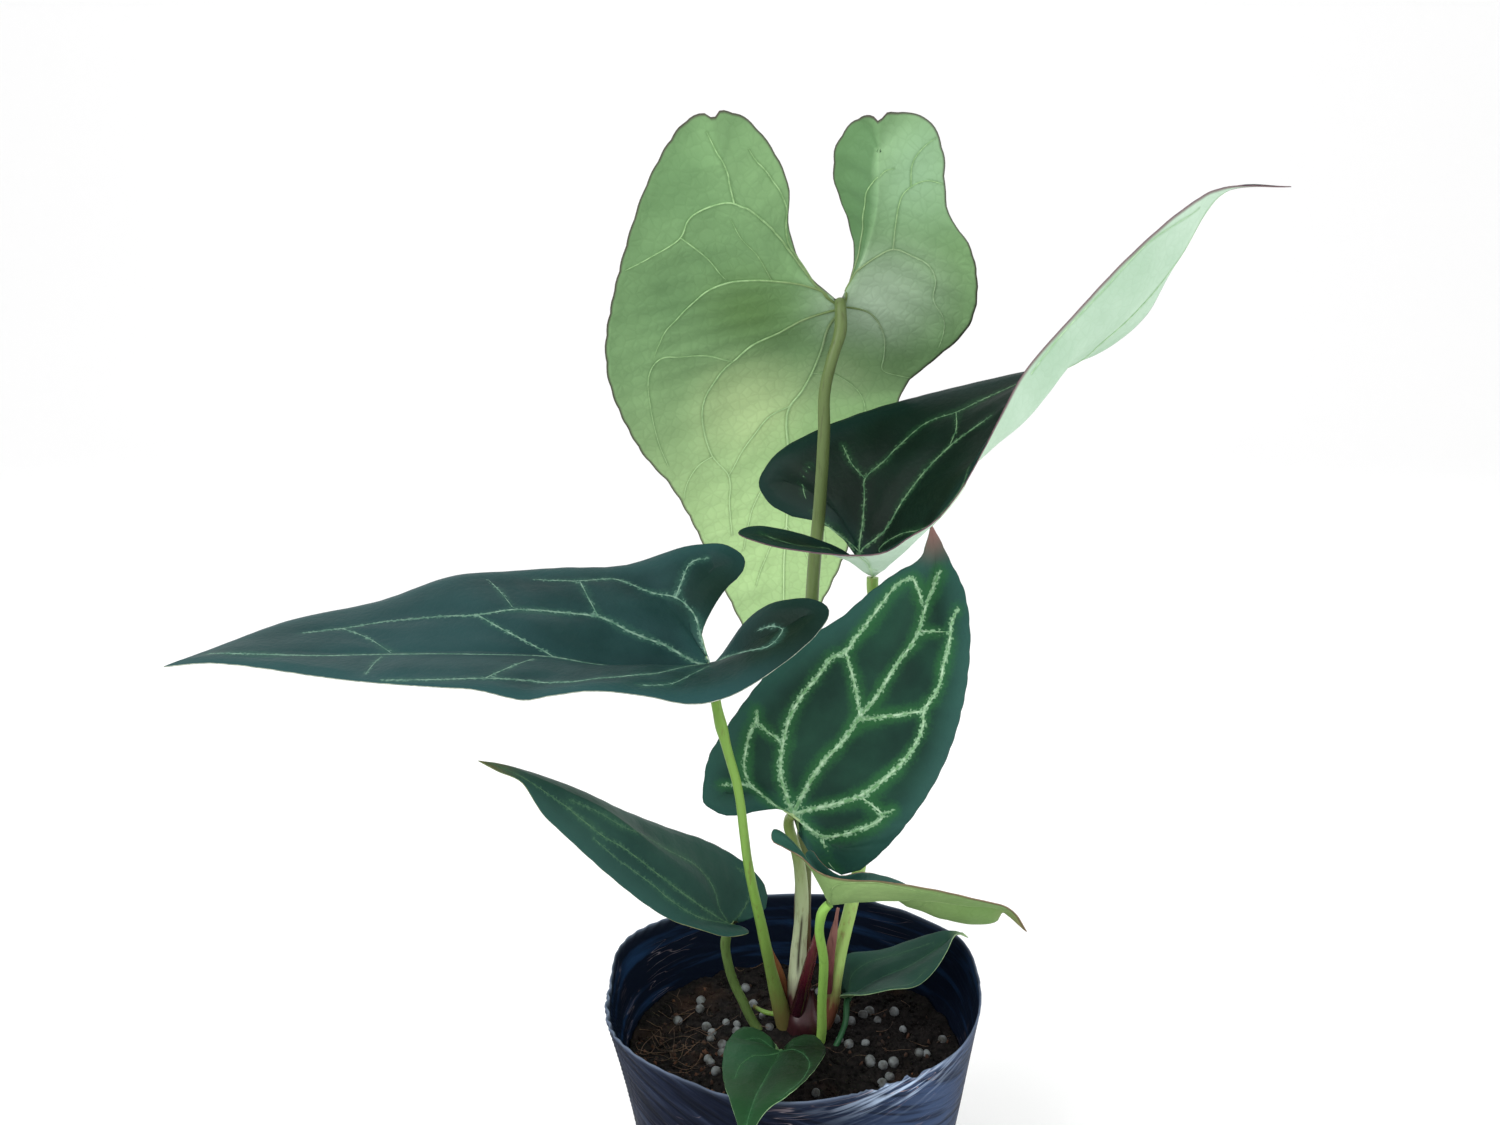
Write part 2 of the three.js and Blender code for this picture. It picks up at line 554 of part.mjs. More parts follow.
// The height of the potting mix: a low mound in the middle with crumbs all over
function soilHeight(x, y) {
  const mound = SOIL_MOUND.height * Math.exp(-((Math.hypot(x, y) / SOIL_MOUND.reach) ** 2));
  const crumbs = Math.sin(x / 3.1 + 1) * Math.cos(y / 3.7) + 0.6 * Math.sin(x / 1.9 - y / 2.3);
  return SOIL_LEVEL + mound + SOIL_ROUGHNESS * crumbs;
}

// The potting mix: it fills the pot up to a loose surface, with round feed pellets half sunk in it
function soilSolid() {
  const inset = POT_WALL + GAP;
  const filled = WALL_LEVELS.filter((z) => z < SOIL_LEVEL - 2 * SOIL_ROUGHNESS);
  const profile = filled.map((z) => levelRing(Math.max(z, inset), inset));
  for (let k = SOIL_RINGS; k > 0; k -= 1) {
    const radius = (angle) => ((potRadius(SOIL_LEVEL, angle) - inset) * k) / SOIL_RINGS;
    const height = (angle) => soilHeight(radius(angle) * Math.cos(angle), radius(angle) * Math.sin(angle));
    profile.push({ height, radius });
  }
  profile[profile.length - 1].z = soilHeight(0, 0);
  let soil = toSolid(turned(profile));
  const random = seeded(PELLETS.seed);
  for (let k = 0; k < PELLETS.count; k += 1) {
    const angle = 2 * Math.PI * random();
    const reach = PELLETS.clear + (PELLETS.reach - PELLETS.clear) * Math.sqrt(random());
    const [x, y] = [reach * Math.cos(angle), reach * Math.sin(angle)];
    const size = PELLETS.radius * (1 + PELLETS.spread * (2 * random() - 1));
    const pellet = new THREE.IcosahedronGeometry(size, 0);
    pellet.translate(x, y, soilHeight(x, y) + PELLETS.proud * size);
    soil = soil.add(toSolid(pellet));
  }
  return soil;
}

// A named mesh with a material of its own
function named(name, geometry, color, roughness) {
  const material = new THREE.MeshStandardMaterial({ color, roughness, metalness: 0 });
  const mesh = new THREE.Mesh(geometry, material);
  mesh.name = name;
  return mesh;
}

const plant = new THREE.Group();
const cuts = [toSolid(rodGeometry(CROWN.path, CROWN.radii, GAP))];
plant.add(named("crown", rodGeometry(CROWN.path, CROWN.radii), 0x5a2a26, 0.6));
for (const sheath of SHEATHS) {
  const solid = cutClear(toSolid(rodGeometry(sheath.path, sheath.radii)), cuts);
  plant.add(named(sheath.name, fromSolid(solid), sheath.color, 0.5));
  cuts.push(toSolid(rodGeometry(sheath.path, sheath.radii, GAP)));
}
for (const leaf of LEAVES) {
  plant.add(named(`${leaf.name}_blade`, bladeGeometry(leaf, BLADE_THICKNESS), leaf.colors.blade, 0.55));
  const room = toSolid(bladeGeometry(leaf, BLADE_THICKNESS + 2 * GAP));
  const stalk = stalkPath(leaf);
  let rod = toSolid(rodGeometry(stalk, leaf.radii));
  if (leaf.stub) rod = rod.add(toSolid(rodGeometry(leaf.stub.path, leaf.stub.radii)));
  const petiole = fromSolid(cutClear(rod, [...cuts, room]));
  plant.add(named(`${leaf.name}_petiole`, petiole, leaf.colors.petiole, 0.5));
  cuts.push(toSolid(rodGeometry(stalk, leaf.radii, GAP)));
}
plant.add(named("pot", fromSolid(potSolid()), 0x12151f, 0.45));
plant.add(named("potting_mix", fromSolid(cutClear(soilSolid(), cuts)), 0x1c1410, 0.95));

export default plant;
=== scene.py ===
"""The looks of a potted crystal anthurium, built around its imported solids: eight velvety leaves on
long petioles, one short stem, and a soft black nursery pot with feed pellets in its potting mix.
Lengths in the tables are millimetres, +Z up, from the centre of the pot's flat base."""
import math

import bmesh
import bpy
import numpy as np
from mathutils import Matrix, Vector
from mathutils.bvhtree import BVHTree
from mathutils.kdtree import KDTree


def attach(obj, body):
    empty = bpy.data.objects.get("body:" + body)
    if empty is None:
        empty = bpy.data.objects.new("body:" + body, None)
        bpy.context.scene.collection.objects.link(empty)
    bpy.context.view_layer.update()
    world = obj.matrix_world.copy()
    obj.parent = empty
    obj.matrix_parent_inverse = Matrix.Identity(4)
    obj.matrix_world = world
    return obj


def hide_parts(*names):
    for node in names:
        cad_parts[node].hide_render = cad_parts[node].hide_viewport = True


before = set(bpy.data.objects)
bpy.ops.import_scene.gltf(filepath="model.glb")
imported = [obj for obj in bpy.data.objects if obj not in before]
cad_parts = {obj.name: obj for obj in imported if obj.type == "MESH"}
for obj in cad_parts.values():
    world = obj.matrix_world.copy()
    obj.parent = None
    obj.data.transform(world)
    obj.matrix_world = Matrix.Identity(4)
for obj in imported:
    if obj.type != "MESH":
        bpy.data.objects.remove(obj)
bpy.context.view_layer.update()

# The studio
# A plain pale sweep of floor that curves up far behind the plant, two large soft lights and a pale
# surround. The camera stands in front of the pot, a little above the leaves' middle, and looks down.
MM = 0.001
CAMERA_PITCH = 13
LIGHTS_AIM = (0, 0, 0.22)
scene = bpy.context.scene


def add(tree, kind, inputs=None, **settings):
    """A node with its settings. Each input is linked from a socket or set to a value, unless None."""
    node = tree.nodes.new(kind)
    for key, value in settings.items():
        setattr(node, key, value)
    for key, value in (inputs or {}).items():
        if isinstance(value, bpy.types.NodeSocket):
            tree.links.new(value, node.inputs[key])
        elif value is not None:
            node.inputs[key].default_value = value
    return node


def tone(red, green, blue):
    """A colour given from 0 to 255 as a screen shows it, as the shader takes it."""
    parts = (c / 255 for c in (red, green, blue))
    return (*(c / 12.92 if c < 0.04045 else ((c + 0.055) / 1.055) ** 2.4 for c in parts), 1.0)


def new_skin(name, roughness, gloss=0.5):
    """A material, its node tree, its shader, and the place on the piece that its patterns read."""
    material = bpy.data.materials.new(name)
    material.use_nodes = True
    tree = material.node_tree
    shader = tree.nodes["Principled BSDF"]
    shader.inputs["Roughness"].default_value = roughness
    shader.inputs["Specular IOR Level"].default_value = gloss
    return material, tree, shader, add(tree, "ShaderNodeTexCoord").outputs["Object"]


def noise(tree, place, scale, detail):
    """Soft noise from about 0.2 to 0.8 at a place, or over the whole piece where place is None."""
    return add(tree, "ShaderNodeTexNoise", {"Vector": place, "Scale": scale, "Detail": detail}).outputs["Fac"]


def ramped(tree, value, first, last, *between):
    """A colour picked by a value. Each stop is a position and a tone."""
    ramp = add(tree, "ShaderNodeValToRGB", {"Fac": value})
    stops = ramp.color_ramp.elements
    for stop, (position, hue) in zip(stops, (first, last)):
        stop.position = position
        stop.color = tone(*hue)
    for position, hue in between:
        stops.new(position).color = tone(*hue)
    return ramp.outputs["Color"]


def finished(tree, shader, color, *relief):
    """Gives a shader its colour and its relief: layers of height, strength and depth in metres."""
    tree.links.new(color, shader.inputs["Base Color"])
    normal = None
    for height, strength, depth in relief:
        layer = {"Height": height, "Strength": strength, "Distance": depth, "Normal": normal}
        normal = add(tree, "ShaderNodeBump", layer).outputs["Normal"]
    if normal:
        tree.links.new(normal, shader.inputs["Normal"])


def mesh_object(name, points, faces, materials, face_material=None, edges=()):
    """An object of a smooth mesh given in metres, with its materials."""
    mesh = bpy.data.meshes.new(name)
    mesh.from_pydata(np.asarray(points, float).tolist(), list(edges), [list(map(int, f)) for f in faces])
    for material in materials:
        mesh.materials.append(material)
    if face_material is not None:
        mesh.polygons.foreach_set("material_index", np.asarray(face_material, np.int32))
    mesh.polygons.foreach_set("use_smooth", np.full(len(mesh.polygons), True))
    mesh.update()
    made = bpy.data.objects.new(name, mesh)
    scene.collection.objects.link(made)
    return made


def sweep_points(width, front, back, height, bend, steps=12):
    """The sweep: a flat floor, a quarter bend of that radius, and an upright back."""
    section = [(front, 0.0), (back - bend, 0.0)]
    for k in range(1, steps + 1):
        turn = math.pi / 2 * k / steps
        section.append((back - bend + bend * math.sin(turn), bend - bend * math.cos(turn)))
    section.append((back, height))
    points = [(x, y, z) for y, z in section for x in (-width / 2, width / 2)]
    return points, [(2 * k, 2 * k + 1, 2 * k + 3, 2 * k + 2) for k in range(len(section) - 1)]


pale, tree, shader, _ = new_skin("pale_sweep", roughness=0.9)
paper = noise(tree, None, scale=3, detail=2)
finished(tree, shader, ramped(tree, paper, (0, (252, 252, 252)), (1, (254, 254, 254))))
floor = mesh_object("floor", *sweep_points(width=9.0, front=-3.0, back=3.2, height=4.5, bend=1.2), [pale])

world = bpy.data.worlds.new("surround")
world.use_nodes = True
background = world.node_tree.nodes["Background"]
background.inputs["Color"].default_value = (1.0, 1.0, 1.0, 1.0)
background.inputs["Strength"].default_value = 0.95
scene.world = world
for name, place, size, power in (
    ("window", (-0.9, -0.75, 1.15), 1.0, 14.0),
    ("fill", (1.3, -0.2, 0.9), 1.2, 6.0),
):
    lamp = bpy.data.lights.new(name, "AREA")
    lamp.size = size
    lamp.energy = power
    holder = bpy.data.objects.new(name, lamp)
    holder.location = place
    holder.rotation_euler = (Vector(LIGHTS_AIM) - Vector(place)).to_track_quat("-Z", "Y").to_euler()
    scene.collection.objects.link(holder)

camera_data = bpy.data.cameras.new("camera")
camera_data.lens = 30.0
camera_data.sensor_width = 36.0
camera_data.clip_start = 0.01
camera = bpy.data.objects.new("camera", camera_data)
camera.location = (-0.0162, -0.396, 0.353)
camera.rotation_euler = (math.radians(90 - CAMERA_PITCH), 0.0, 0.0)
scene.collection.objects.link(camera)
scene.camera = camera
scene.view_settings.view_transform = "Standard"

# The nursery pot
# A thin bag-like pot blown in black polyethylene, gone out of round. Its wall is creased, scuffed and
# torn at the front right, where a strip of the rim stands up, and its floor has six drain holes.
POT_HEIGHT, RIM_RADIUS, BASE_RADIUS, WALL = 110, 65, 47, 0.7
RIM_FLARE = [0, 4, 2, 1, 2, 6, 0, 4, 1, 1, 0, 0]
RIM_START = 106.5
# The creases: the bearing and the spread of the side that has most, the height where they start, how
# deep they are all round, how much deeper there, how deep the broad dents are, and the radius at which
# the wall is unrolled for them
CREASED_SIDE, CREASED_SPREAD, CREASED_ABOVE = 200, 45, 45
CREASE_DEPTH, CREASE_THERE, DENT_DEPTH = 0.07, 0.3, 0.32
UNROLLED_AT = 62
# The torn strip: its bearing, its spread, how high it stands up, and the spread of its frayed edge
TEAR_ANGLE, TEAR_SPREAD, TEAR_LIFT, TATTER_SPREAD = -65, 20, 3, 13
# How far the pale edge reaches down the wall, and the torn strip's scuffs and painted glare, down it and
# round it
PALE_EDGE, SCUFF_GLARE_DOWN, SCUFF_GLARE_ROUND = 0.5, 7.5, 17
LIP, INNER_FROM = 0.15, 0.4
DRAIN_HOLES, DRAIN_RADIUS, DRAIN_CIRCLE = 6, 4, 32
SECTORS = 420


def along(values, u):
    """A value that runs through a list as u goes from 0 to 1, in smooth steps."""
    values = np.asarray(values, float)
    at = np.clip(u, 0, 1) * (len(values) - 1)
    k = np.minimum(at.astype(int), len(values) - 2)
    f = at - k
    return values[k] + (values[k + 1] - values[k]) * f * f * (3 - 2 * f)


def pot_radius(z, angle):
    """The outside radius: a slight taper, the slack of a soft wall, and the flare toward the rim."""
    rise = z / POT_HEIGHT
    slack = 0.4 * rise * (np.sin(4 * angle + 1) + 0.6 * np.sin(5 * angle + 2 + z / 30))
    flare = along(RIM_FLARE + RIM_FLARE[:1], (angle % (2 * math.pi)) / (2 * math.pi)) * rise**4
    return BASE_RADIUS + (RIM_RADIUS - BASE_RADIUS) * rise + slack + flare


def lump(a, b, seed):
    """Soft random waves over two coordinates, about 1 high."""
    random = np.random.default_rng(seed)
    total = 0
    for _ in range(6):
        turn, phase = random.uniform(0, 2 * math.pi, 2)
        rate = random.uniform(0.6, 1.7)
        total = total + np.sin(rate * (a * math.cos(turn) + b * math.sin(turn)) + phase)
    return total / 3


def crease(z, angle):
    """How far the thin wall stands off its even form: fine slanting creases, most at the left."""
    left = np.exp(-(((np.degrees(angle) - CREASED_SIDE) / CREASED_SPREAD) ** 2))
    s = angle * UNROLLED_AT
    slant = s * 0.5 + z
    fine = np.sin(slant * 1.9 + 2.5 * lump(s / 14, z / 9, 3)) * (0.35 + 0.65 * lump(s / 25, z / 30, 4) ** 2)
    creases = (CREASE_DEPTH + CREASE_THERE * left) * fine * np.clip((z - CREASED_ABOVE) / 30, 0, 1)
    return creases + DENT_DEPTH * lump(s / 17, z / 12, 5) * np.clip(z / 60, 0.1, 1)


def off_by(angle, middle):
    """How far an angle is from the middle, in degrees from -180 to 180."""
    return (np.degrees(angle) - middle + 180) % 360 - 180


def rim_height(angle):
    """The uneven rim, frayed all round, with the torn strip."""
    degrees = np.degrees(angle)
    off = off_by(angle, TEAR_ANGLE)
    tear = TEAR_LIFT * np.exp(-((off / TEAR_SPREAD) ** 2))
    shreds = 0.55 * lump(degrees * 0.9, 0, 6) + 0.4 * lump(degrees * 2.2, 0, 7)
    tatter = np.exp(-((off / TATTER_SPREAD) ** 4)) * shreds
    tooth = 1.6 * np.exp(-(((off - 5) / 1.1) ** 2)) - 1.3 * np.exp(-(((off - 8) / 2.2) ** 2))
    wave = 0.6 * np.sin(2 * angle + 0.5) + 0.4 * np.sin(7 * angle) - 0.6
    return POT_HEIGHT + 0.9 * wave + tear + tatter + tooth + 0.22 * lump(degrees * 0.45, 0, 8)


turn = np.linspace(0, 2 * math.pi, SECTORS, endpoint=False)
levels = [*np.linspace(0.25, 48, 18), *np.linspace(50, RIM_START, 40)]


def ring(radius, z):
    """A ring round the pot's axis. The radius and the height may differ from sector to sector."""
    return np.stack([radius * np.cos(turn), radius * np.sin(turn), np.zeros(SECTORS) + z], 1)


def wall_ring(z, inset):
    """A level ring on the wall, or so far inside it."""
    return ring(pot_radius(z, turn) + crease(z, turn) - inset, z)


def rim_ring(share, inset):
    """A ring above the last level one, at that share of the way up to the uneven rim."""
    z = RIM_START + (rim_height(turn) - RIM_START) * share
    return ring(pot_radius(np.minimum(z, POT_HEIGHT), turn) + crease(z, turn) - inset, z)


def closed_rings(rings):
    """A closed body from rings of points, with a pole point at each end."""
    n = len(rings[0])
    points = np.vstack([*rings, rings[0].mean(0), rings[-1].mean(0)])
    first, last = len(rings) * n, len(rings) * n + 1
    faces = []
    for j in range(n):
        k = (j + 1) % n
        faces.append((first, k, j))
        faces.append((last, (len(rings) - 1) * n + j, (len(rings) - 1) * n + k))
        for i in range(len(rings) - 1):
            faces.append((i * n + j, i * n + k, (i + 1) * n + k, (i + 1) * n + j))
    return points, faces


# From the middle of the floor up the outside, over the lip, down the inside and in to the middle
pot_rings = [ring(r, 0.0) for r in (12, 24, 38, 46.2)]
pot_rings += [wall_ring(z, 0) for z in levels]
pot_rings += [rim_ring(s, 0) for s in (0.35, 0.7, 0.92)]
pot_rings += [rim_ring(1.0, LIP), rim_ring(1.0, WALL - LIP)]
pot_rings += [rim_ring(s, WALL) for s in (0.92, 0.7, 0.35)]
pot_rings += [wall_ring(z, WALL) for z in reversed(levels) if z > 1]
pot_rings += [ring(r, WALL) for r in (45, 38, 24, 12)]
pot_points, pot_faces = closed_rings(pot_rings)


def mix(tree, factor, one, other):
    """A blend of two colours, each a socket or a tone."""
    one, other = (c if isinstance(c, bpy.types.NodeSocket) else tone(*c) for c in (one, other))
    return add(tree, "ShaderNodeMix", {0: factor, 6: one, 7: other}, data_type="RGBA").outputs[2]


def ranged(tree, value, reach, result=(0.0, 1.0), **settings):
    """A value carried over from one range to another, and held at its ends."""
    limits = {"From Min": reach[0], "From Max": reach[1], "To Min": result[0], "To Max": result[1]}
    return add(tree, "ShaderNodeMapRange", {"Value": value, **limits}, **settings).outputs[0]


def maths(tree, operation, *values):
    """One step of arithmetic on sockets and numbers."""
    return add(tree, "ShaderNodeMath", dict(enumerate(values)), operation=operation).outputs[0]


def read(tree, label):
    """What a piece's points are marked with under that name."""
    return add(tree, "ShaderNodeAttribute", attribute_name=label).outputs["Fac"]


def drawn_out(tree, place, size, turned=(0.0, 0.0, 0.0), detail=2.0):
    """Noise drawn out into streaks: the size of a streak along three axes, and how they are turned."""
    where = add(tree, "ShaderNodeMapping", {"Vector": place, "Rotation": turned, "Scale": size},
                vector_type="TEXTURE")
    return noise(tree, where.outputs[0], 1.0, detail)


pot_skin, tree, shader, place = new_skin("pot_plastic", roughness=0.4, gloss=0.01)
cloud = noise(tree, place, scale=28, detail=5)
grey = ramped(tree, cloud, (0.35, (13, 18, 31)), (0.7, (27, 34, 52)))
# Outside, wrinkles slant down to the right, with painted shade in their folds and painted highlights
# on their ridges. Inside, the wall has painted shade, with a painted blue sheen in level streaks
wrinkle = drawn_out(tree, place, (0.03, 0.03, 0.0022), (0.0, 0.42, 0.0))
# A painted glare makes the outside paler and bluer at the front right
outer = mix(tree, read(tree, "painted_glare"), grey, (62, 80, 112))
# Painted shade in the wrinkles' folds
outer = mix(tree, ranged(tree, wrinkle, (0.5, 0.36), (0.0, 0.65)), outer, (9, 12, 20))
# Painted highlights on the wrinkles' ridges
outer = mix(tree, ranged(tree, wrinkle, (0.56, 0.72), (0.0, 0.3)), outer, (66, 78, 102))
sheen = drawn_out(tree, place, (0.05, 0.05, 0.0035), detail=3.0)
# Painted shade darkens the inside wall, and painted blue sheen lies on it in streaks
shaded_inside = mix(tree, ranged(tree, sheen, (0.5, 0.72), (0.0, 0.75)), (18, 25, 40), (34, 62, 100))
# This colour carries the painted glare, shade and sheen, and then the real scuffs on top
wear_and_painted_light = mix(tree, read(tree, "inner"), outer, shaded_inside)
# Scuffs: thin lines where drawn-out noise passes its middle, broken up by a coarser noise
lines = drawn_out(tree, place, (0.033, 0.033, 0.0024), (0.0, -0.06, 0.0), 1.0)
from_line = maths(tree, "ABSOLUTE", maths(tree, "SUBTRACT", lines, 0.5))
thin = ranged(tree, from_line, (0.0, 0.012), (1.0, 0.0))
patch = noise(tree, place, scale=45, detail=2)
torn = read(tree, "torn")
scuffed = maths(tree, "MAXIMUM", ranged(tree, patch, (0.54, 0.68), (0.0, 0.5)), torn)
scuff_tone = mix(tree, patch, (196, 138, 96), (128, 146, 172))
wear_and_painted_light = mix(tree, maths(tree, "MULTIPLY", thin, scuffed), wear_and_painted_light, scuff_tone)
# Painted glare: bluish white streaks on the torn strip. The top of the rim is paler
glare = ranged(tree, drawn_out(tree, place, (0.02, 0.02, 0.0016), (0.0, -0.25, 0.0)), (0.46, 0.58))
wear_and_painted_light = mix(tree, maths(tree, "MULTIPLY", torn, glare), wear_and_painted_light, (186, 206, 232))
wear_and_painted_light = mix(tree, maths(tree, "MULTIPLY", read(tree, "lip"), cloud), wear_and_painted_light, (128, 142, 166))
grain = noise(tree, place, scale=700, detail=3)
finished(tree, shader, wear_and_painted_light, (grain, 0.12, 0.0004), (wrinkle, 0.4, 0.0012))

drill = bmesh.new()
for k in range(DRAIN_HOLES):
    made = bmesh.ops.create_cone(drill, cap_ends=True, segments=32, radius1=DRAIN_RADIUS * MM,
                                 radius2=DRAIN_RADIUS * MM, depth=6 * MM)
    bearing = 2 * math.pi * k / DRAIN_HOLES
    spot = Vector((DRAIN_CIRCLE * math.cos(bearing), DRAIN_CIRCLE * math.sin(bearing), 0)) * MM
    bmesh.ops.translate(drill, verts=made["verts"], vec=spot)
drill_mesh = bpy.data.meshes.new("drill")
drill.to_mesh(drill_mesh)
drill.free()
drill_object = bpy.data.objects.new("drill", drill_mesh)
scene.collection.objects.link(drill_object)


def settled(made):
    """The object with its modifiers worked into a plain mesh."""
    bpy.context.view_layer.update()
    evaluated = made.evaluated_get(bpy.context.evaluated_depsgraph_get())
    mesh = bpy.data.meshes.new_from_object(evaluated)
    made.modifiers.clear()
    made.data = mesh
    mesh.polygons.foreach_set("use_smooth", np.full(len(mesh.polygons), True))
    return made


pot = mesh_object("nursery_pot", pot_points * MM, pot_faces, [pot_skin])
cut = pot.modifiers.new("drain_holes", "BOOLEAN")
cut.object = drill_object
cut.operation = "DIFFERENCE"
cut.solver = "EXACT"
settled(pot)
bpy.data.objects.remove(drill_object)


def places_of(mesh, what="co"):
    """The places of a mesh's points in mm, or their normals."""
    values = np.empty(len(mesh.vertices) * 3)
    mesh.vertices.foreach_get(what, values)
    return values.reshape(-1, 3) / (MM if what == "co" else 1)


def marked(mesh, label, values):
    """Writes a number or a direction for each point, which skins and node trees read by that name."""
    values = np.asarray(values, np.float32)
    kind, field = ("FLOAT", "value") if values.ndim == 1 else ("FLOAT_VECTOR", "vector")
    mesh.attributes.new(label, kind, "POINT").data.foreach_set(field, values.ravel())


# Marks for the skin: how near the rim's edge and the torn strip, how much painted glare, and which side of
# the wall
spots = places_of(pot.data)
angle = np.arctan2(spots[:, 1], spots[:, 0]) % (2 * math.pi)
below = rim_height(angle) - spots[:, 2]
wall = pot_radius(spots[:, 2], angle) + crease(spots[:, 2], angle)
inner_side = np.hypot(spots[:, 0], spots[:, 1]) < wall - INNER_FROM
off = off_by(angle, TEAR_ANGLE + 4)
marked(pot.data, "lip", np.exp(-np.maximum(below, 0) / PALE_EDGE))
# The torn strip's mark carries both its real scuffs and its painted glare
scuff_and_glare = np.exp(-((off / SCUFF_GLARE_ROUND) ** 2) - (below / SCUFF_GLARE_DOWN) ** 2)
marked(pot.data, "torn", scuff_and_glare * ~inner_side)
# The painted glare on the outside, at the front right
marked(pot.data, "painted_glare", 0.75 * np.exp(-(((off - 16) / 26) ** 2)))
marked(pot.data, "inner", inner_side & (below > 0.3))
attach(pot, "root")
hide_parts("pot")

# The potting mix
# Dark peat and coir, filled in loosely to about three quarters of the pot, low at the wall and piled
# a little round the stem. Its crumbs are loose on it, and near the left wall it is browner and fibrous.
SOIL_LEVEL, SOIL_STEPS = 82, 64
MOUND_HEIGHT, MOUND_REACH, CRUMB_HEIGHT = 5, 26, 0.8
MIX_INSET = 1.3


def soil_height(x, y):
    """The surface that the solid has: a low mound with coarse crumbs."""
    mound = MOUND_HEIGHT * np.exp(-((np.hypot(x, y) / MOUND_REACH) ** 2))
    crumbs = np.sin(x / 3.1 + 1) * np.cos(y / 3.7) + 0.6 * np.sin(x / 1.9 - y / 2.3)
    return SOIL_LEVEL + mound + CRUMB_HEIGHT * crumbs


def soil_surface(x, y):
    """The same surface with the finer crumbs that the solid leaves out."""
    fine = 0.45 * lump(x / 1.1, y / 1.1, 11) * lump(x / 3.3, y / 3.3, 12) + 0.3 * lump(x / 0.6, y / 0.6, 13)
    return soil_height(x, y) + fine


mix_rings = [ring(r, MIX_INSET) for r in (15, 30, 43)]
mix_rings += [wall_ring(z, MIX_INSET) for z in np.linspace(1.6, 78, 14)]
for k in range(SOIL_STEPS, 0, -1):
    r = (pot_radius(SOIL_LEVEL, turn) + crease(SOIL_LEVEL, turn) - MIX_INSET) * k / SOIL_STEPS
    mix_rings.append(ring(r, soil_surface(r * np.cos(turn), r * np.sin(turn))))
mix_skin, tree, shader, place = new_skin("potting_mix", roughness=0.95, gloss=0.2)
cloud = noise(tree, place, scale=420, detail=6)
peat = ramped(tree, cloud, (0.35, (9, 8, 8)), (0.75, (36, 31, 30)))
blot = noise(tree, place, scale=55, detail=2)
brown = mix(tree, ranged(tree, blot, (0.54, 0.7), (0.0, 0.55)), peat, (58, 40, 30))
finished(tree, shader, brown, (cloud, 0.8, 0.0012))
mix_points, mix_faces = closed_rings(mix_rings)
mix_body = mesh_object("potting_mix_fill", mix_points * MM, mix_faces, [mix_skin])
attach(mix_body, "root")
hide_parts("potting_mix")

# Crumbs, bark and pellets
# Loose crumbs of peat, flakes of brown bark and pale round feed pellets lie on the mix. Where the
# photograph shows a pellet it has its place; the others are strewn.
PELLETS, PELLET_REACH, PELLET_RADIUS = 46, 56, 1.7
PELLET_SPOTS = [(-35, 32), (-35, 24), (-15, 27), (-25, 15), (-21, 13), (-30, 9), (-21, 9), (-26, 2),
                (-26, -4), (-31, -6), (-30, -10), (-28, -14), (-9, 8), (15, 14), (21, 16), (26, 21),
                (31, 17), (38, 23), (40, 13), (16, 1), (19, -1), (25, 1), (44, -2), (26, -9), (30, -12),
                (32, -16), (34, -9), (29, -19), (61, 20)]


def new_tree(name, inputs):
    """A geometry node tree with a geometry in and out, and its named inputs."""
    tree = bpy.data.node_groups.new(name, "GeometryNodeTree")
    tree.interface.new_socket("Geometry", in_out="INPUT", socket_type="NodeSocketGeometry")
    for label, kind, value in inputs:
        socket = tree.interface.new_socket(label, in_out="INPUT", socket_type="NodeSocket" + kind)
        if value is not None:
            socket.default_value = value
    tree.interface.new_socket("Geometry", in_out="OUTPUT", socket_type="NodeSocketGeometry")
    return tree, add(tree, "NodeGroupInput").outputs


def end_tree(tree, geometry, material):
    """The end of each tree: its instances made real, and its material."""
    whole = add(tree, "GeometryNodeRealizeInstances", {"Geometry": geometry})
    painted = add(tree, "GeometryNodeSetMaterial", {"Geometry": whole.outputs[0], "Material": material})
    add(tree, "NodeGroupOutput", {"Geometry": painted.outputs[0]})


def grow(made, tree, **values):
    """Runs a geometry node tree on an object, with its inputs by name, and keeps the plain mesh."""
    modifier = made.modifiers.new(tree.name, "NODES")
    modifier.node_group = tree
    for item in tree.interface.items_tree:
        if item.in_out == "INPUT" and item.name in values:
            modifier[item.identifier] = values[item.name]
    return settled(made)


# Crumbs: rough little bodies scattered over a surface, each turned and sized at random
strewn, given = new_tree("strewn_crumbs", [
    ("Density", "Float", 1e5), ("Least", "Float", 0.0004), ("Most", "Float", 0.001),
    ("Flat", "Float", 1.0), ("Seed", "Int", 1), ("Material", "Material", None)])
dots = add(strewn, "GeometryNodeDistributePointsOnFaces",
           {"Mesh": given["Geometry"], "Density": given["Density"], "Seed": given["Seed"]})
size = add(strewn, "FunctionNodeRandomValue", {2: given["Least"], 3: given["Most"], "Seed": given["Seed"]})
spin = add(strewn, "FunctionNodeRandomValue", {0: (0, 0, 0), 1: (6.28, 6.28, 6.28), "Seed": given["Seed"]},
           data_type="FLOAT_VECTOR")
crumb = add(strewn, "GeometryNodeMeshIcoSphere", {"Radius": 1.0, "Subdivisions": 1})
here = add(strewn, "GeometryNodeInputPosition").outputs[0]
knobbly = ranged(strewn, noise(strewn, here, scale=1.6, detail=1), (0.3, 0.7), (0.55, 1.3))
shape = add(strewn, "ShaderNodeVectorMath", {0: here, "Scale": knobbly}, operation="SCALE")
press = add(strewn, "ShaderNodeCombineXYZ", {"X": 1.0, "Y": 0.8, "Z": given["Flat"]})
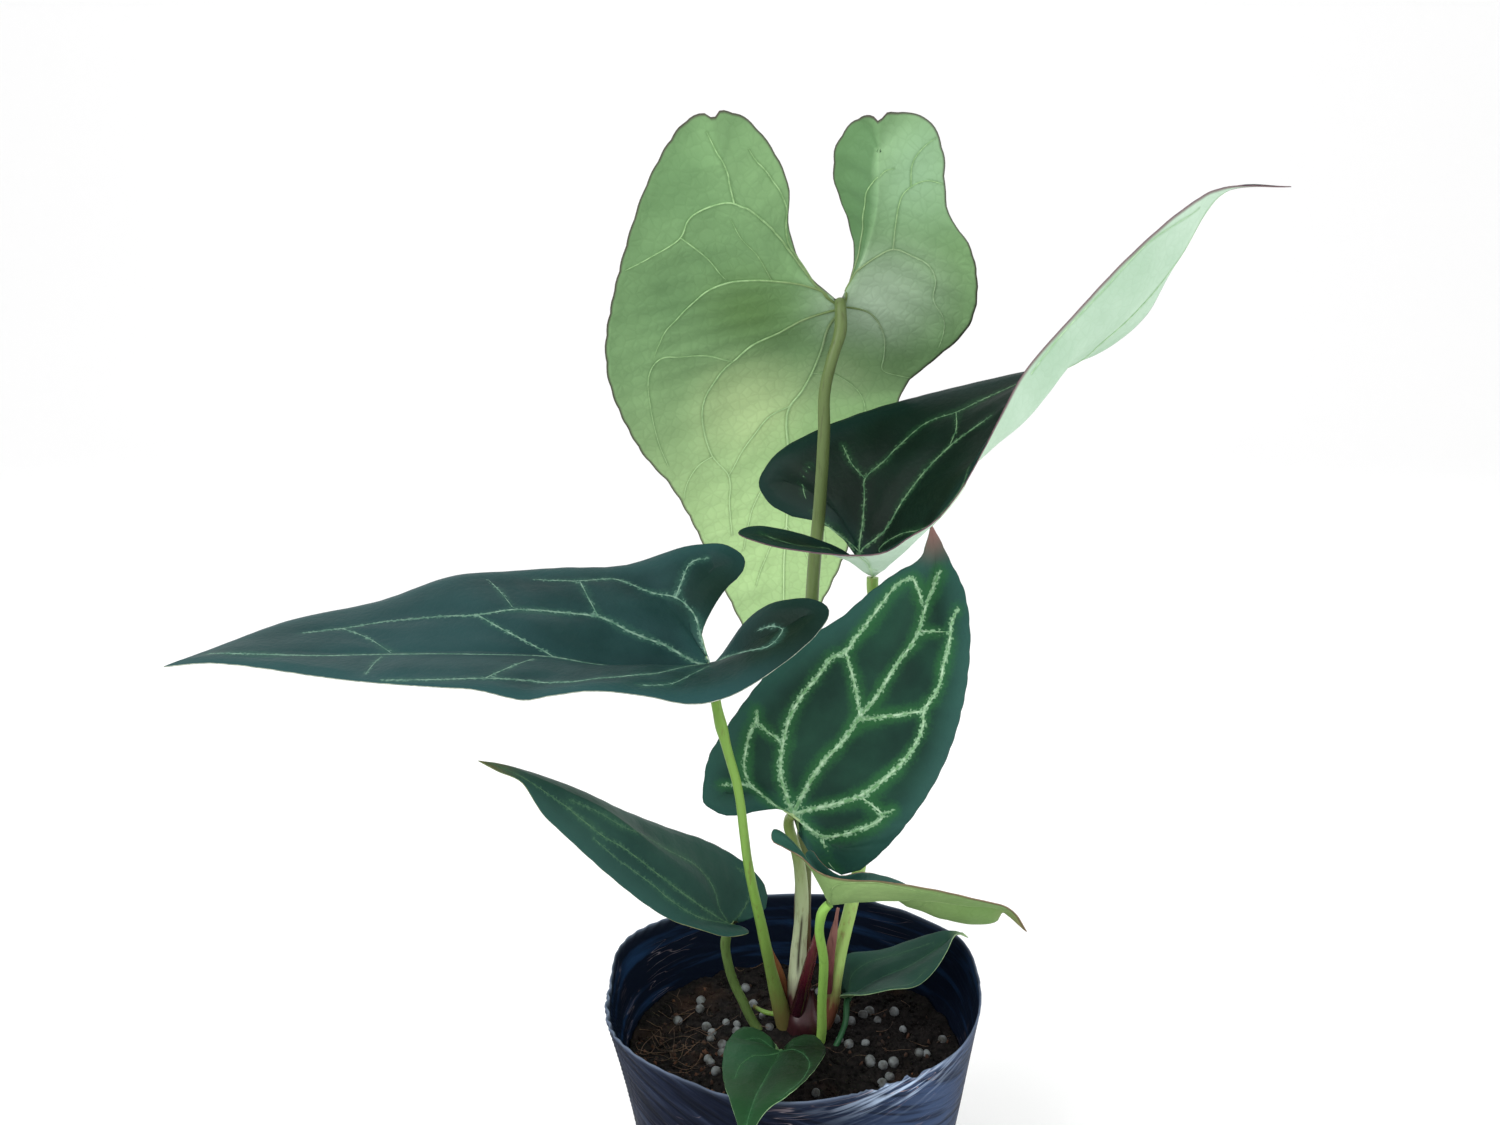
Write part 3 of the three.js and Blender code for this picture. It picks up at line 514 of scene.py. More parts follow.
shape = add(strewn, "ShaderNodeVectorMath", {0: shape.outputs[0], 1: press.outputs[0]}, operation="MULTIPLY")
crumb = add(strewn, "GeometryNodeSetPosition",
            {"Geometry": crumb.outputs["Mesh"], "Position": shape.outputs[0]})
spread = add(strewn, "GeometryNodeInstanceOnPoints",
             {"Points": dots.outputs["Points"], "Instance": crumb.outputs[0],
              "Rotation": spin.outputs["Value"], "Scale": size.outputs[1]})
end_tree(strewn, spread.outputs[0], given["Material"])


def ground(name, reach, left=-180, right=180, inner=11, steps=48, rows=14):
    """A patch of the mix's surface, between two bearings in degrees, to strew things on."""
    points, faces = [], []
    angles = np.linspace(math.radians(left), math.radians(right), steps + 1)
    for r in np.linspace(inner, reach, rows):
        x, y = r * np.cos(angles), r * np.sin(angles)
        points.append(np.stack([x, y, soil_height(x, y)], 1))
    for i in range(rows - 1):
        for j in range(steps):
            a = i * (steps + 1) + j
            b = a + steps + 1
            faces.append((a, b, b + 1, a + 1))
    return mesh_object(name, np.vstack(points) * MM, faces, [])


bark_skin, tree, shader, place = new_skin("bark_flakes", roughness=0.9)
cloud = noise(tree, place, scale=260, detail=4)
finished(tree, shader, ramped(tree, cloud, (0.4, (28, 18, 14)), (0.65, (88, 54, 34))))
for name, skin, density, least, most, flat, seed, patch in (
    ("mix_crumbs", mix_skin, 2.1e5, 0.0005, 0.0014, 0.8, 3, {"reach": 57}),
    ("bark_flakes", bark_skin, 1.0e4, 0.0007, 0.0019, 0.45, 5, {"reach": 56}),
    ("bark_pile", bark_skin, 1.1e5, 0.0006, 0.0019, 0.5, 8,
     {"reach": 57, "left": 170, "right": 245, "inner": 30}),
):
    strew = grow(ground(name, **patch), strewn, Density=density, Least=least, Most=most, Flat=flat, Seed=seed,
                 Material=skin)
    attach(strew, "root")

# Pellets: each a slightly uneven ball that sits on its spot
pellet_skin, tree, shader, place = new_skin("feed_pellet", roughness=0.75)
cloud = noise(tree, place, scale=320, detail=5)
chalk = ramped(tree, cloud, (0.35, (66, 66, 64)), (0.6, (124, 129, 132)))
finished(tree, shader, chalk, (cloud, 0.5, 0.0005))
balls, given = new_tree("pellets_on_spots", [
    ("Radius", "Float", 0.0018), ("Uneven", "Float", 0.12), ("Material", "Material", None)])
own = add(balls, "GeometryNodeInputNamedAttribute", {"Name": "size"}, data_type="FLOAT")
ball = add(balls, "GeometryNodeMeshIcoSphere", {"Radius": given["Radius"], "Subdivisions": 3})
seat_at = add(balls, "GeometryNodeInstanceOnPoints",
              {"Points": given["Geometry"], "Instance": ball.outputs["Mesh"], "Scale": own.outputs[0]})
joined = add(balls, "GeometryNodeRealizeInstances", {"Geometry": seat_at.outputs[0]})
here = add(balls, "GeometryNodeInputPosition").outputs[0]
rough = maths(balls, "SUBTRACT", noise(balls, here, scale=330, detail=1), 0.5)
push = maths(balls, "MULTIPLY", maths(balls, "MULTIPLY", rough, given["Uneven"]), 0.008)
out = add(balls, "GeometryNodeInputNormal")
shove = add(balls, "ShaderNodeVectorMath", {0: out.outputs[0], "Scale": push}, operation="SCALE")
moved = add(balls, "GeometryNodeSetPosition", {"Geometry": joined.outputs[0], "Offset": shove.outputs[0]})
end_tree(balls, moved.outputs[0], given["Material"])


def strewn_spot(random, reach, least):
    """A random spot on the mix, evenly spread between the stem and the reach."""
    away = reach * math.sqrt(random.uniform(least, 1))
    bearing = random.uniform(0, 2 * math.pi)
    return away * math.cos(bearing), away * math.sin(bearing)


random = np.random.default_rng(21)
spots = [list(p) for p in PELLET_SPOTS]
while len(spots) < PELLETS:
    x, y = strewn_spot(random, PELLET_REACH, 0.06)
    # Most of those that the photograph doesn't show lie behind the leaves
    behind = y > -8 and -40 < x < 45
    if behind or random.uniform() < 0.35:
        spots.append([x, y])
spots = np.array(spots, float)
sizes = random.uniform(0.8, 1.15, len(spots))
spots = np.column_stack([spots, soil_height(spots[:, 0], spots[:, 1]) + 0.7 * sizes])
pellets = mesh_object("feed_pellets", spots * MM, [], [])
marked(pellets.data, "size", sizes)
grow(pellets, balls, Radius=PELLET_RADIUS * MM, Uneven=0.12, Material=pellet_skin)
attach(pellets, "root")

# Coir fibres
# Loose hairs of coconut fibre, light brown, curled on the mix. Most lie near the left wall.
FIBRE_SPOTS = [(-46, 23), (-52, 9), (-41, 7), (-42, -3), (-48, 1), (-34, 3), (-37, -8)]
FIBRES_A_SPOT, FIBRES_STREWN = 6, 34
FIBRE_POINTS, FIBRE_SIDES = 9, 5
FIBRE_REACH, WALL_REACH = 55, 58

# Rods: each line of edges becomes a closed rod, as thick as its points say
rods_tree, given = new_tree("rods_on_lines", [("Sides", "Int", 12), ("Material", "Material", None)])
threads = add(rods_tree, "GeometryNodeMeshToCurve", {"Mesh": given["Geometry"]})
thick = add(rods_tree, "GeometryNodeInputNamedAttribute", {"Name": "thick"}, data_type="FLOAT").outputs[0]
sized = add(rods_tree, "GeometryNodeSetCurveRadius", {"Curve": threads.outputs[0], "Radius": thick})
circle = add(rods_tree, "GeometryNodeCurvePrimitiveCircle", {"Resolution": given["Sides"], "Radius": 1.0})
tube = add(rods_tree, "GeometryNodeCurveToMesh",
           {"Curve": sized.outputs[0], "Profile Curve": circle.outputs[0], "Scale": thick, "Fill Caps": True})
end_tree(rods_tree, tube.outputs[0], given["Material"])


def rods(name, lines, sides, material, **extra):
    """One object of rods: each line is (points in mm, radii in mm), with more values for its points."""
    ends = np.cumsum([len(path) for path, _ in lines])
    edges = [(j, j + 1) for j in range(ends[-1] - 1) if j + 1 not in ends]
    made = mesh_object(name, np.vstack([path for path, _ in lines]) * MM, [], [], edges=edges)
    marked(made.data, "thick", np.concatenate([radii for _, radii in lines]).astype(np.float32) * MM)
    marked(made.data, "share", np.concatenate([np.linspace(0, 1, len(path)) for path, _ in lines]))
    for label, values in extra.items():
        marked(made.data, label, np.concatenate(values))
    return grow(made, rods_tree, Sides=sides, Material=material)


fibre_skin, tree, shader, place = new_skin("coir_fibre", roughness=0.7)
cloud = noise(tree, place, scale=120, detail=3)
finished(tree, shader, ramped(tree, cloud, (0.35, (38, 28, 22)), (0.65, (112, 86, 66))))
random = np.random.default_rng(5)
hairs = []


def lay_fibre(x, y, length, bearing, bow):
    """A hair that lies on the mix, with its ends a little up, cut off where it would meet the wall."""
    steps = np.linspace(-0.5, 0.5, FIBRE_POINTS)
    heading = bearing + bow * steps
    px = x + np.cumsum(np.cos(heading)) * length / FIBRE_POINTS
    py = y + np.cumsum(np.sin(heading)) * length / FIBRE_POINTS
    keep = np.hypot(px, py) < WALL_REACH
    lift = 0.9 + 1.6 * (2 * np.abs(steps)) ** 2 * random.uniform(0, 1) + 0.5 * random.uniform(0, 1)
    if keep.sum() > 3:
        path = np.stack([px, py, soil_height(px, py) + lift], 1)[keep]
        hairs.append((path, np.full(len(path), random.uniform(0.06, 0.14))))


for x, y in FIBRE_SPOTS:
    for _ in range(FIBRES_A_SPOT):
        lay_fibre(x + random.normal(0, 3), y + random.normal(0, 3), random.uniform(7, 20),
                  random.uniform(0, 2 * math.pi), random.uniform(-2.2, 2.2))
for _ in range(FIBRES_STREWN):
    lay_fibre(*strewn_spot(random, FIBRE_REACH, 0.05), random.uniform(5, 14),
              random.uniform(0, 2 * math.pi), random.uniform(-2, 2))
fibres = rods("coir_fibres", hairs, FIBRE_SIDES, fibre_skin)
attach(fibres, "root")

# The stem, the new shoot and the dry sheaths
# A short dark red stem, mostly in the mix, that all petioles leave. A glossy red shoot stands beside
# them, with a pink-edged sheath to its right and a dry brown one to its left.
RAIL_STEPS = 24
STEM_STEP, STEM_SIDES = 0.9, 28


def rail(points):
    """A smooth curve through given points, as a function from shares of its length to places."""
    p = np.array(points, float)
    p = np.vstack([2 * p[0] - p[1], p, 2 * p[-1] - p[-2]])
    line = [p[1]]
    for a, b, c, d in zip(p, p[1:], p[2:], p[3:]):
        s = [math.sqrt(max(np.linalg.norm(q - r), 1e-6)) for r, q in ((a, b), (b, c), (c, d))]
        m1 = ((b - a) / s[0] - (c - a) / (s[0] + s[1]) + (c - b) / s[1]) * s[1]
        m2 = ((c - b) / s[1] - (d - b) / (s[1] + s[2]) + (d - c) / s[2]) * s[1]
        t = np.linspace(0, 1, RAIL_STEPS + 1)[1:, None]
        line.extend((2 * t**3 - 3 * t**2 + 1) * b + (t**3 - 2 * t**2 + t) * m1
                    + (3 * t**2 - 2 * t**3) * c + (t**3 - t**2) * m2)
    line = np.array(line)
    share = np.r_[0, np.cumsum(np.linalg.norm(np.diff(line, axis=0), axis=1))]
    length = share[-1]
    share = share / length

    def at(u):
        return np.stack([np.interp(u, share, line[:, k]) for k in range(3)], -1)

    at.length = length
    return at


def path_of(points, step):
    """A line of points along a smooth path, and the shares of its length where they are."""
    curve = rail(points)
    u = np.linspace(0, 1, max(8, int(curve.length / step)))
    return curve(u), u


def stalk_skin(name, foot, middle, top, speck, foot_end, middle_end, roughness=0.42, gloss=0.25, slit=None):
    """A petiole's skin: its foot, middle and top colours along its length, with fine long specks."""
    material, tree, shader, place = new_skin(name, roughness, gloss)
    tall = add(tree, "ShaderNodeMapping", {"Vector": place, "Scale": (900.0, 900.0, 160.0)})
    streak = noise(tree, tall.outputs[0], scale=1, detail=3)
    jitter = maths(tree, "MULTIPLY", maths(tree, "SUBTRACT", streak, 0.5), 0.08)
    at = maths(tree, "ADD", read(tree, "share"), jitter)
    color = ramped(tree, at, (0.0, foot), (1.0, top), (foot_end, foot), (foot_end + 0.1, middle),
                   (middle_end + 0.1, top))
    color = mix(tree, ranged(tree, streak, (0.55, 0.72), (0.0, 0.5)), color, speck)
    if slit:
        color = mix(tree, read(tree, "slit"), color, slit)
    finished(tree, shader, color, (streak, 0.25, 0.0003))
    return material


def moved_to(mesh, points):
    """Moves a mesh's points to places in metres."""
    mesh.vertices.foreach_set("co", points.ravel())
    mesh.update()


def furrowed(made, depth, count, seed=2):
    """Fine lengthwise furrows and knots pressed into a rod, across its own skin."""
    points, normals = places_of(made.data), places_of(made.data, "normal")
    face = np.arctan2(normals[:, 1], normals[:, 0])
    wave = np.sin(count * face + lump(points[:, 2] / 7, face, seed))
    knots = lump(points[:, 2] / 2.5, 2 * face, seed + 1)
    points += normals * (depth * (0.6 * wave + 0.4 * knots))[:, None]
    moved_to(made.data, points * MM)


for name, node, slot, points, radii, depth, count, skin in (
    ("stem", "crown", "stem_skin",
     [(2, 10, 52), (2, 10, 74), (4, 9, 92), (6, 8, 102)], (5, 8.3, 8.6, 7.6, 0.6), 0.45, 5,
     stalk_skin("stem_bark", (24, 15, 14), (40, 20, 22), (60, 25, 31), (16, 10, 10), foot_end=0.5,
                middle_end=0.75, roughness=0.38, gloss=0.5)),
    ("new_shoot", "new_shoot", "red_sheath",
     [(1, 6, 94), (4, 3, 111), (7, 1, 126), (8, 0, 136)], (2.7, 2.0, 0.6), 0.22, 2,
     stalk_skin("red_shoot", (44, 14, 24), (70, 20, 32), (104, 50, 56), (30, 10, 18), foot_end=0.25,
                middle_end=0.7, roughness=0.16, gloss=0.9)),
    ("sheath_right", "sheath_right", "dry_sheath",
     [(11, 9, 101), (13, 9, 119), (15, 8, 134)], (2.5, 1.7, 0.5), 0.22, 4,
     stalk_skin("pink_sheath", (88, 44, 48), (122, 70, 72), (150, 104, 98), (74, 34, 38), foot_end=0.2,
                middle_end=0.6, roughness=0.45)),
    ("sheath_left", "sheath_left", "dry_sheath",
     [(-1, 12, 91), (-5, 9, 106), (-9, 6, 120)], (2.1, 1.6, 0.4), 0.25, 4,
     stalk_skin("dry_sheath", (60, 38, 28), (112, 66, 44), (146, 92, 60), (50, 30, 22), foot_end=0.2,
                middle_end=0.6, roughness=0.7)),
):
    path, u = path_of(points, STEM_STEP)
    piece = rods(name + "_piece", [(path, along(radii, u))], STEM_SIDES, skin)
    furrowed(piece, depth, count)
    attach(piece, "root")
    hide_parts(node)

# How a leaf is made
# A thin velvety blade on a long petiole. The blade hangs on three rails from the point where the
# petiole meets it: the midrib, and the right and the left margin round its basal lobes to the tip. Its
# skin rises a little between the veins, and the veins stand out of both faces as fine ribs.
HALF_THICKNESS = 0.33
# The rise of the skin between the veins, and the distance from a vein in which most of it comes
QUILT, QUILT_REACH = 0.75, 5.5
# Pleats across the margin and scallops along it: how high, and how far from one to the next
WAVES = (0.1, 9, 0.08, 9)
# How far the pleats and scallops take to rise from nothing at the petiole and fall to it at the tip
WAVES_RISE = 12
# A nick in the margin: how deep and how wide it is, and how near its spot the margin has to pass
NICK_DEPTH, NICK_WIDTH, NICK_NEAR = 2.2, 1.6, 6
# How high the skin's own fine ripples are
RIPPLE = 0.28
# Where the margin, seen from the petiole, lies within this slant of the midrib, its rows start from the
# midrib, and elsewhere from the vein of the lobe
ROW_SLANT = math.radians(62)
VEIN_STEP, RIB_SIDES = 0.9, 8
STALK_STEP, STALK_SIDES, STALK_GAP = 1.2, 24, 0.3
FURROW, FURROWS = 0.07, 3
SWELLING_REACH, SLIT_DEPTH = 4, 0.5
STUB_RADII, STUB_STEP = (0.7, 0.8, 0.9), 0.8

# A leaf's table gives points on its petiole and radii along it, points on the midrib from the petiole
# to the tip, on the margins between those two ends and on the vein of each lobe, how far each half is
# cupped from the petiole on, and the veins: each its width at the start and the end, and points on it.


def unit(v):
    """A direction with a length of 1."""
    return v / np.linalg.norm(v)


def half_of(leaf, side, ahead):
    """One half's margin and lobe vein, and the shares of the margin where its runs of rows change."""
    seat, tip_point = leaf["midrib"][0], leaf["midrib"][-1]
    margin, vein = rail([seat, *leaf[side], tip_point]), rail([seat, *leaf["lobes"][side]])
    fan = next((t for t in np.arange(0.7, 0.3, -0.01)
                if unit(margin(t) - seat) @ ahead < math.cos(ROW_SLANT)), 0.3)
    out = unit(vein(1.0) - vein(0.6))
    tip = max(np.arange(0, fan, 0.01), key=lambda t: (margin(t) - vein(1.0)) @ out)
    return side, margin, vein, 0.75 * tip, tip + 0.3 * (fan - tip), fan


def wavy_edge(leaf, margin, at, feet, side, rows):
    """The margin with its scallops and nicks, and the pleats that run in from it."""
    pleat, pleat_step, scallop, scallop_step = leaf.get("waves", WAVES)
    edge = margin(at)
    ruling = edge - feet
    reach = np.linalg.norm(ruling, axis=1, keepdims=True)
    run = at * margin.length
    fade = np.clip(np.minimum(run, margin.length - run) / WAVES_RISE, 0, 1)
    uneven = lump(run / 11, 0, len(side) + rows)
    out_by = scallop * fade * (2 * np.abs(np.sin(math.pi * run / scallop_step + uneven)) - 1.5)
    for nick in leaf.get("nicks", ()):
        t = max(np.arange(0, 1, 0.002), key=lambda t: -np.linalg.norm(margin(t) - nick))
        if np.linalg.norm(margin(t) - nick) < NICK_NEAR:
            out_by = out_by - NICK_DEPTH * np.exp(-(((run - t * margin.length) / NICK_WIDTH) ** 2))
    edge = edge + ruling / np.maximum(reach, 1e-9) * out_by[:, None]
    fold = pleat * fade * np.clip(reach[:, 0] / 20, 0, 1) * (0.6 + 0.7 * lump(run / 23, 1, rows))
    return edge, fold * np.sin(2 * math.pi * run / pleat_step + 3 * lump(run / 19, 0, len(side)))


def blade_sheet(leaf, row_step, across):
    """The middle of a blade as points, faces that look up, its edges, and which points lie by the sinus."""
    midrib = rail(leaf["midrib"])
    ahead = unit(midrib(0.08) - midrib(0.0))
    halves = [half_of(leaf, side, ahead) for side in ("right", "left")]
    # Rows are as close as the longer of what they start from and end on asks, alike on both halves
    fore = max(int((1 - fan) * margin.length / row_step / 1.2) for _, margin, *_, fan in halves)
    points, faces, strip = list(midrib(np.arange(fore + 1) / fore)), [], [0.0] * (fore + 1)
    for side, margin, vein, inner, outer, fan in halves:
        # Rows start along the lobe's vein, go round its end, back along it, and then down the midrib
        end = max(8, int((outer - inner) * margin.length / row_step))
        lobe = max(6, int((fan - outer) * margin.length / row_step / 1.4))
        by_lobe, round_end, down = (np.arange(1, n) for n in (lobe + 1, end + 1, fore))
        feet = np.vstack([vein(by_lobe / lobe), np.repeat(vein(1.0)[None], end, 0),
                          vein(1 - by_lobe / lobe), midrib(down / fore)])
        at = np.concatenate([inner * by_lobe / lobe, inner + (outer - inner) * round_end / end,
                             outer + (fan - outer) * by_lobe / lobe, fan + (1 - fan) * down / fore])
        edge, fold = wavy_edge(leaf, margin, at, feet, side, fore)
        ruling = edge - feet
        up = np.cross(ruling, margin(np.minimum(at + 1e-3, 1)) - margin(np.maximum(at - 1e-3, 0)))
        up /= np.maximum(np.linalg.norm(up, axis=1, keepdims=True), 1e-9)
        if side == "left":
            up = -up
        swell = along([0, *leaf["cup"][side], 0], at) * np.linalg.norm(ruling, axis=1) * 4
        first = len(points)
        for j in range(across + 1):
            b = j / across
            rise = swell * b * (1 - b) + fold * math.sin(0.9 * math.pi * b)
            points.extend(feet + ruling * b + up * rise[:, None])
            by_sinus = np.clip(2.2 * (inner + 0.1 - at) / inner, 0, 1) * min(1.0, 5 * b)
            strip.extend(by_sinus if side == "right" else np.zeros(len(at)))
        grid = first + np.arange((across + 1) * len(at)).reshape(across + 1, len(at))
        for a, b in zip(grid, grid[1:]):
            quads = list(zip(a[:-1], b[:-1], b[1:], a[1:]))
            quads += [(0, a[0], b[0]), (a[-1], b[-1], fore)]
            faces.extend(q if side == "right" else q[::-1] for q in quads)
    return merged(np.array(points), faces, strip)


def merged(points, faces, strip):
    """The sheet with points that coincide made one, so that its halves and fans are joined."""
    build = bmesh.new()
    value = build.verts.layers.float.new("strip")
    for p, s in zip(points, strip):
        build.verts.new(p)[value] = s
    build.verts.ensure_lookup_table()
    for face in faces:
        corners = list(dict.fromkeys(face))
        if len(corners) > 2:
            build.faces.new([build.verts[k] for k in corners])
    bmesh.ops.remove_doubles(build, verts=build.verts, dist=0.02)
    bmesh.ops.dissolve_degenerate(build, edges=build.edges, dist=0.01)
    loose = [v for v in build.verts if not v.link_faces]
    bmesh.ops.delete(build, geom=loose, context="VERTS")
    build.verts.index_update()
    points = np.array([v.co for v in build.verts])
    faces = [[v.index for v in f.verts] for f in build.faces]
    edge = [[v.index for v in e.verts] for e in build.edges if e.is_boundary]
    strip = np.array([v[value] for v in build.verts])
    build.free()
    return points, faces, edge, strip


def nearest(places, samples):
    """For each place, the distance to the nearest sample, and which one it is."""
    tree = KDTree(len(samples))
    for k, p in enumerate(samples):
        tree.insert(p, k)
    tree.balance()
    found = [tree.find(p)[1:] for p in places]
    return np.array([f[1] for f in found]), np.array([f[0] for f in found])


def point_normals(points, faces):
    """The normal at each point, as the mean of its faces' normals."""
    normals = np.zeros_like(points)
    for face in faces:
        a, b, c = points[face[0]], points[face[1]], points[face[-1]]
        normal = np.cross(b - a, c - a)
        normals[face] += normal / max(np.linalg.norm(normal), 1e-12)
    return normals / np.maximum(np.linalg.norm(normals, axis=1, keepdims=True), 1e-9)


def laid_veins(leaf, points, faces):
    """The veins as smooth lines laid on the sheet: places, the sheet's normals there, half widths."""
    surface = BVHTree.FromPolygons(points.tolist(), faces)
    laid = []
    for start, end, picks in leaf["veins"]:
        curve = rail(picks)
        line = curve(np.linspace(0, 1, max(6, int(curve.length / VEIN_STEP))))
        for _ in range(3):
            line = np.array([surface.find_nearest(p)[0] for p in line])
            line[1:-1] = (line[:-2] + 2 * line[1:-1] + line[2:]) / 4
        found = [surface.find_nearest(p) for p in line]
        normal = np.array([f[1] for f in found])
        for _ in range(4):
            normal[1:-1] = normal[:-2] + 2 * normal[1:-1] + normal[2:]
            normal /= np.linalg.norm(normal, axis=1, keepdims=True)
        width = np.linspace(start, end, len(line)) / 2 * leaf["rib"]
        laid.append((np.array([f[0] for f in found]), normal, width))
    return laid


def blade(name, leaf, skins, row_step, across):
    """The blade's plate with its veins: what it is made from is in the leaf's own table."""
    points, faces, edge, strip = blade_sheet(leaf, row_step, across)
    normals = point_normals(points, faces)
    veins = laid_veins(leaf, points, faces)
    far, which = nearest(points, np.vstack([v[0] for v in veins]))
    half = np.concatenate([v[2] for v in veins])[which]
    from_vein = np.maximum(far - half, 0)
    edge_points = sorted({k for pair in edge for k in pair})
    from_edge, _ = nearest(points, points[edge_points])
    # The skin rises between the veins and ripples a little, and lies flat along its edge
    ripple = RIPPLE * lump(points[:, 0] / 4.5, points[:, 1] / 4.5 + points[:, 2] / 5, len(name))
    rise = QUILT * (1 - np.exp(-((far / QUILT_REACH) ** 2)))
    rise += ripple * (1 - np.exp(-((far / 2.5) ** 2))) * np.exp(-3 / np.maximum(from_edge, 0.3))
    rise *= np.clip(from_edge / 4, 0.15, 1)
    middle = points + normals * rise[:, None]
    thick = HALF_THICKNESS * np.sqrt(np.clip(from_edge / 0.9 + 0.2, 0, 1))[:, None]
    count = len(points)
    both = np.vstack([middle + normals * thick, middle - normals * thick])
    plates = list(faces) + [[k + count for k in reversed(f)] for f in faces]
    slots = [0] * len(faces) + [1] * len(faces)
    sides = {(a, b) for f in faces for a, b in zip(f, f[1:] + f[:1])}
    for a, b in edge:
        if (a, b) not in sides:
            a, b = b, a
        plates.append([b, a, a + count, b + count])
        slots.append(2)
    made = mesh_object(name + "_sheet", both * MM, plates, skins[:3], slots)
    for label, value in (("vein", from_vein), ("edge", from_edge), ("strip", strip)):
        marked(made.data, label, np.tile(value, 2))
    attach(made, "root")
    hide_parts(name + "_blade")
    veins_on(name, veins, "upper_veins", skins[3], sign=1, flat=0.3)
    veins_on(name, veins, "under_veins", skins[4], sign=-1, flat=0.75)


def veins_on(name, veins, label, skin, sign, flat):
    """The veins of one face as ribs, pressed flat by a share, that taper at their ends."""
    lines, centres, ups = [], [], []
    for line, normal, width in veins:
        centre = line + normal * sign * (HALF_THICKNESS + 0.02)
        reach = min(3, len(width))
        taper = np.ones(len(width))
        taper[-reach:] = np.linspace(1, 0.35, reach)
        lines.append((centre, width * taper))
        centres.append(centre * MM)
        ups.append(normal)
    ribs = rods(f"{name}_{label}", lines, RIB_SIDES, skin, centre=centres, up=ups)
    pressed(ribs.data, flat)
    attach(ribs, "root")


def marks_of(mesh, label, size):
    """What marked wrote for each point of a mesh: 1 number or 3."""
    values = np.empty(len(mesh.vertices) * size, np.float32)
    mesh.attributes[label].data.foreach_get("value" if size == 1 else "vector", values)
    return values.reshape(-1, size)


def pressed(mesh, flat):
    """Rods pressed toward the blade that they lie on."""
    centre, up = marks_of(mesh, "centre", 3), marks_of(mesh, "up", 3)
    points = places_of(mesh) * MM
    high = ((points - centre) * up).sum(1, keepdims=True)
    moved_to(mesh, points - up * high * (1 - flat))


def falling(tree, value, reach, strength):
    """Full strength where a value is 0, falling softly to nothing where it comes to the reach."""
    return ranged(tree, value, (0.0, reach), (strength, 0.0), interpolation_type="SMOOTHSTEP")


def tinted(tree, color, place, patches):
    """Soft spots of another tone: each is a centre in mm, a reach in mm, a tone and how strong it is."""
    for centre, reach, hue, strength in patches:
        away = add(tree, "ShaderNodeVectorMath", {0: place, 1: [c * MM for c in centre]},
                   operation="DISTANCE")
        color = mix(tree, falling(tree, away.outputs["Value"], reach * MM, strength), color, hue)
    return color


def net_of(tree, place, scale):
    """The distance to the nearest thread of the fine net between the veins."""
    net = add(tree, "ShaderNodeTexVoronoi", {"Vector": place, "Scale": scale}, feature="DISTANCE_TO_EDGE")
    return net.outputs["Distance"]


def upper_skin(name, dark, mid, halo, core, rim, halo_width=2.4, halo_strength=0.6, core_width=0.45,
               core_strength=0.5, rim_strength=0.7, patches=()):
    """The velvet upper face: dark between the veins, a halo and a grainy pale core along them, a rim that is
    partly painted sheen.
    """
    material, tree, shader, place = new_skin(name, roughness=0.5, gloss=0.1)
    cloud = noise(tree, place, scale=60, detail=5)
    color = mix(tree, ranged(tree, cloud, (0.3, 0.7)), dark, mid)
    # The rim tone near the edge is partly the leaf's border colour and partly painted velvet sheen
    color = mix(tree, falling(tree, read(tree, "edge"), 11.0, rim_strength), color, rim)
    color = tinted(tree, color, place, patches)
    # Fine grain loosens the edge of the core, and the edge of the halo also wanders with the clouds
    fleck = noise(tree, place, scale=1100, detail=2)
    far = maths(tree, "ADD", read(tree, "vein"), ranged(tree, fleck, (0.3, 0.7), (-0.6, 0.6)))
    wide = maths(tree, "ADD", far, ranged(tree, cloud, (0.3, 0.7), (1.1, -1.1)))
    color = mix(tree, falling(tree, wide, halo_width, halo_strength), color, halo)
    color = mix(tree, falling(tree, far, core_width, core_strength), color, core)
    soft = ranged(tree, net_of(tree, place, 330.0), (0.0, 0.35))
    finished(tree, shader, color, (soft, 0.12, 0.0004), (fleck, 0.3, 0.0002))
    return material


def under_skin(name, dim, light, shade, rim=(104, 84, 74), patches=(), strip_shade=None, net_strength=0.1):
    """The pale matt underside: uneven greens, painted shade beside the veins, and darker in the net between
    them.
    """
    material, tree, shader, place = new_skin(name, roughness=0.62, gloss=0.12)
    cloud = noise(tree, place, scale=22, detail=4)
    color = mix(tree, ranged(tree, cloud, (0.35, 0.65)), dim, light)
    color = tinted(tree, color, place, patches)
    # Painted shade on the strip of the right lobe by the sinus
    if strip_shade:
        color = mix(tree, maths(tree, "MULTIPLY", read(tree, "strip"), 0.75), color, strip_shade)
    net = net_of(tree, place, 300.0)
    color = mix(tree, ranged(tree, net, (0.0, 0.12), (net_strength, 0.0)), color, shade)
    # Painted shade beside the veins
    color = mix(tree, falling(tree, read(tree, "vein"), 0.9, 0.4), color, shade)
    color = mix(tree, ranged(tree, read(tree, "edge"), (0.3, 1.1), (0.85, 0.0)), color, rim)
    finished(tree, shader, color, (ranged(tree, net, (0.0, 0.3)), 0.2, 0.0005))
    return material


def plain_skin(name, one, other, patches=()):
    """Two tones that mix in fine grains, for ribs and rims."""
    material, tree, shader, place = new_skin(name, roughness=0.55, gloss=0.12)
    grain = noise(tree, place, scale=500, detail=3)
    color = mix(tree, ranged(tree, grain, (0.4, 0.62)), one, other)
    finished(tree, shader, tinted(tree, color, place, patches), (grain, 0.3, 0.0002))
    return material


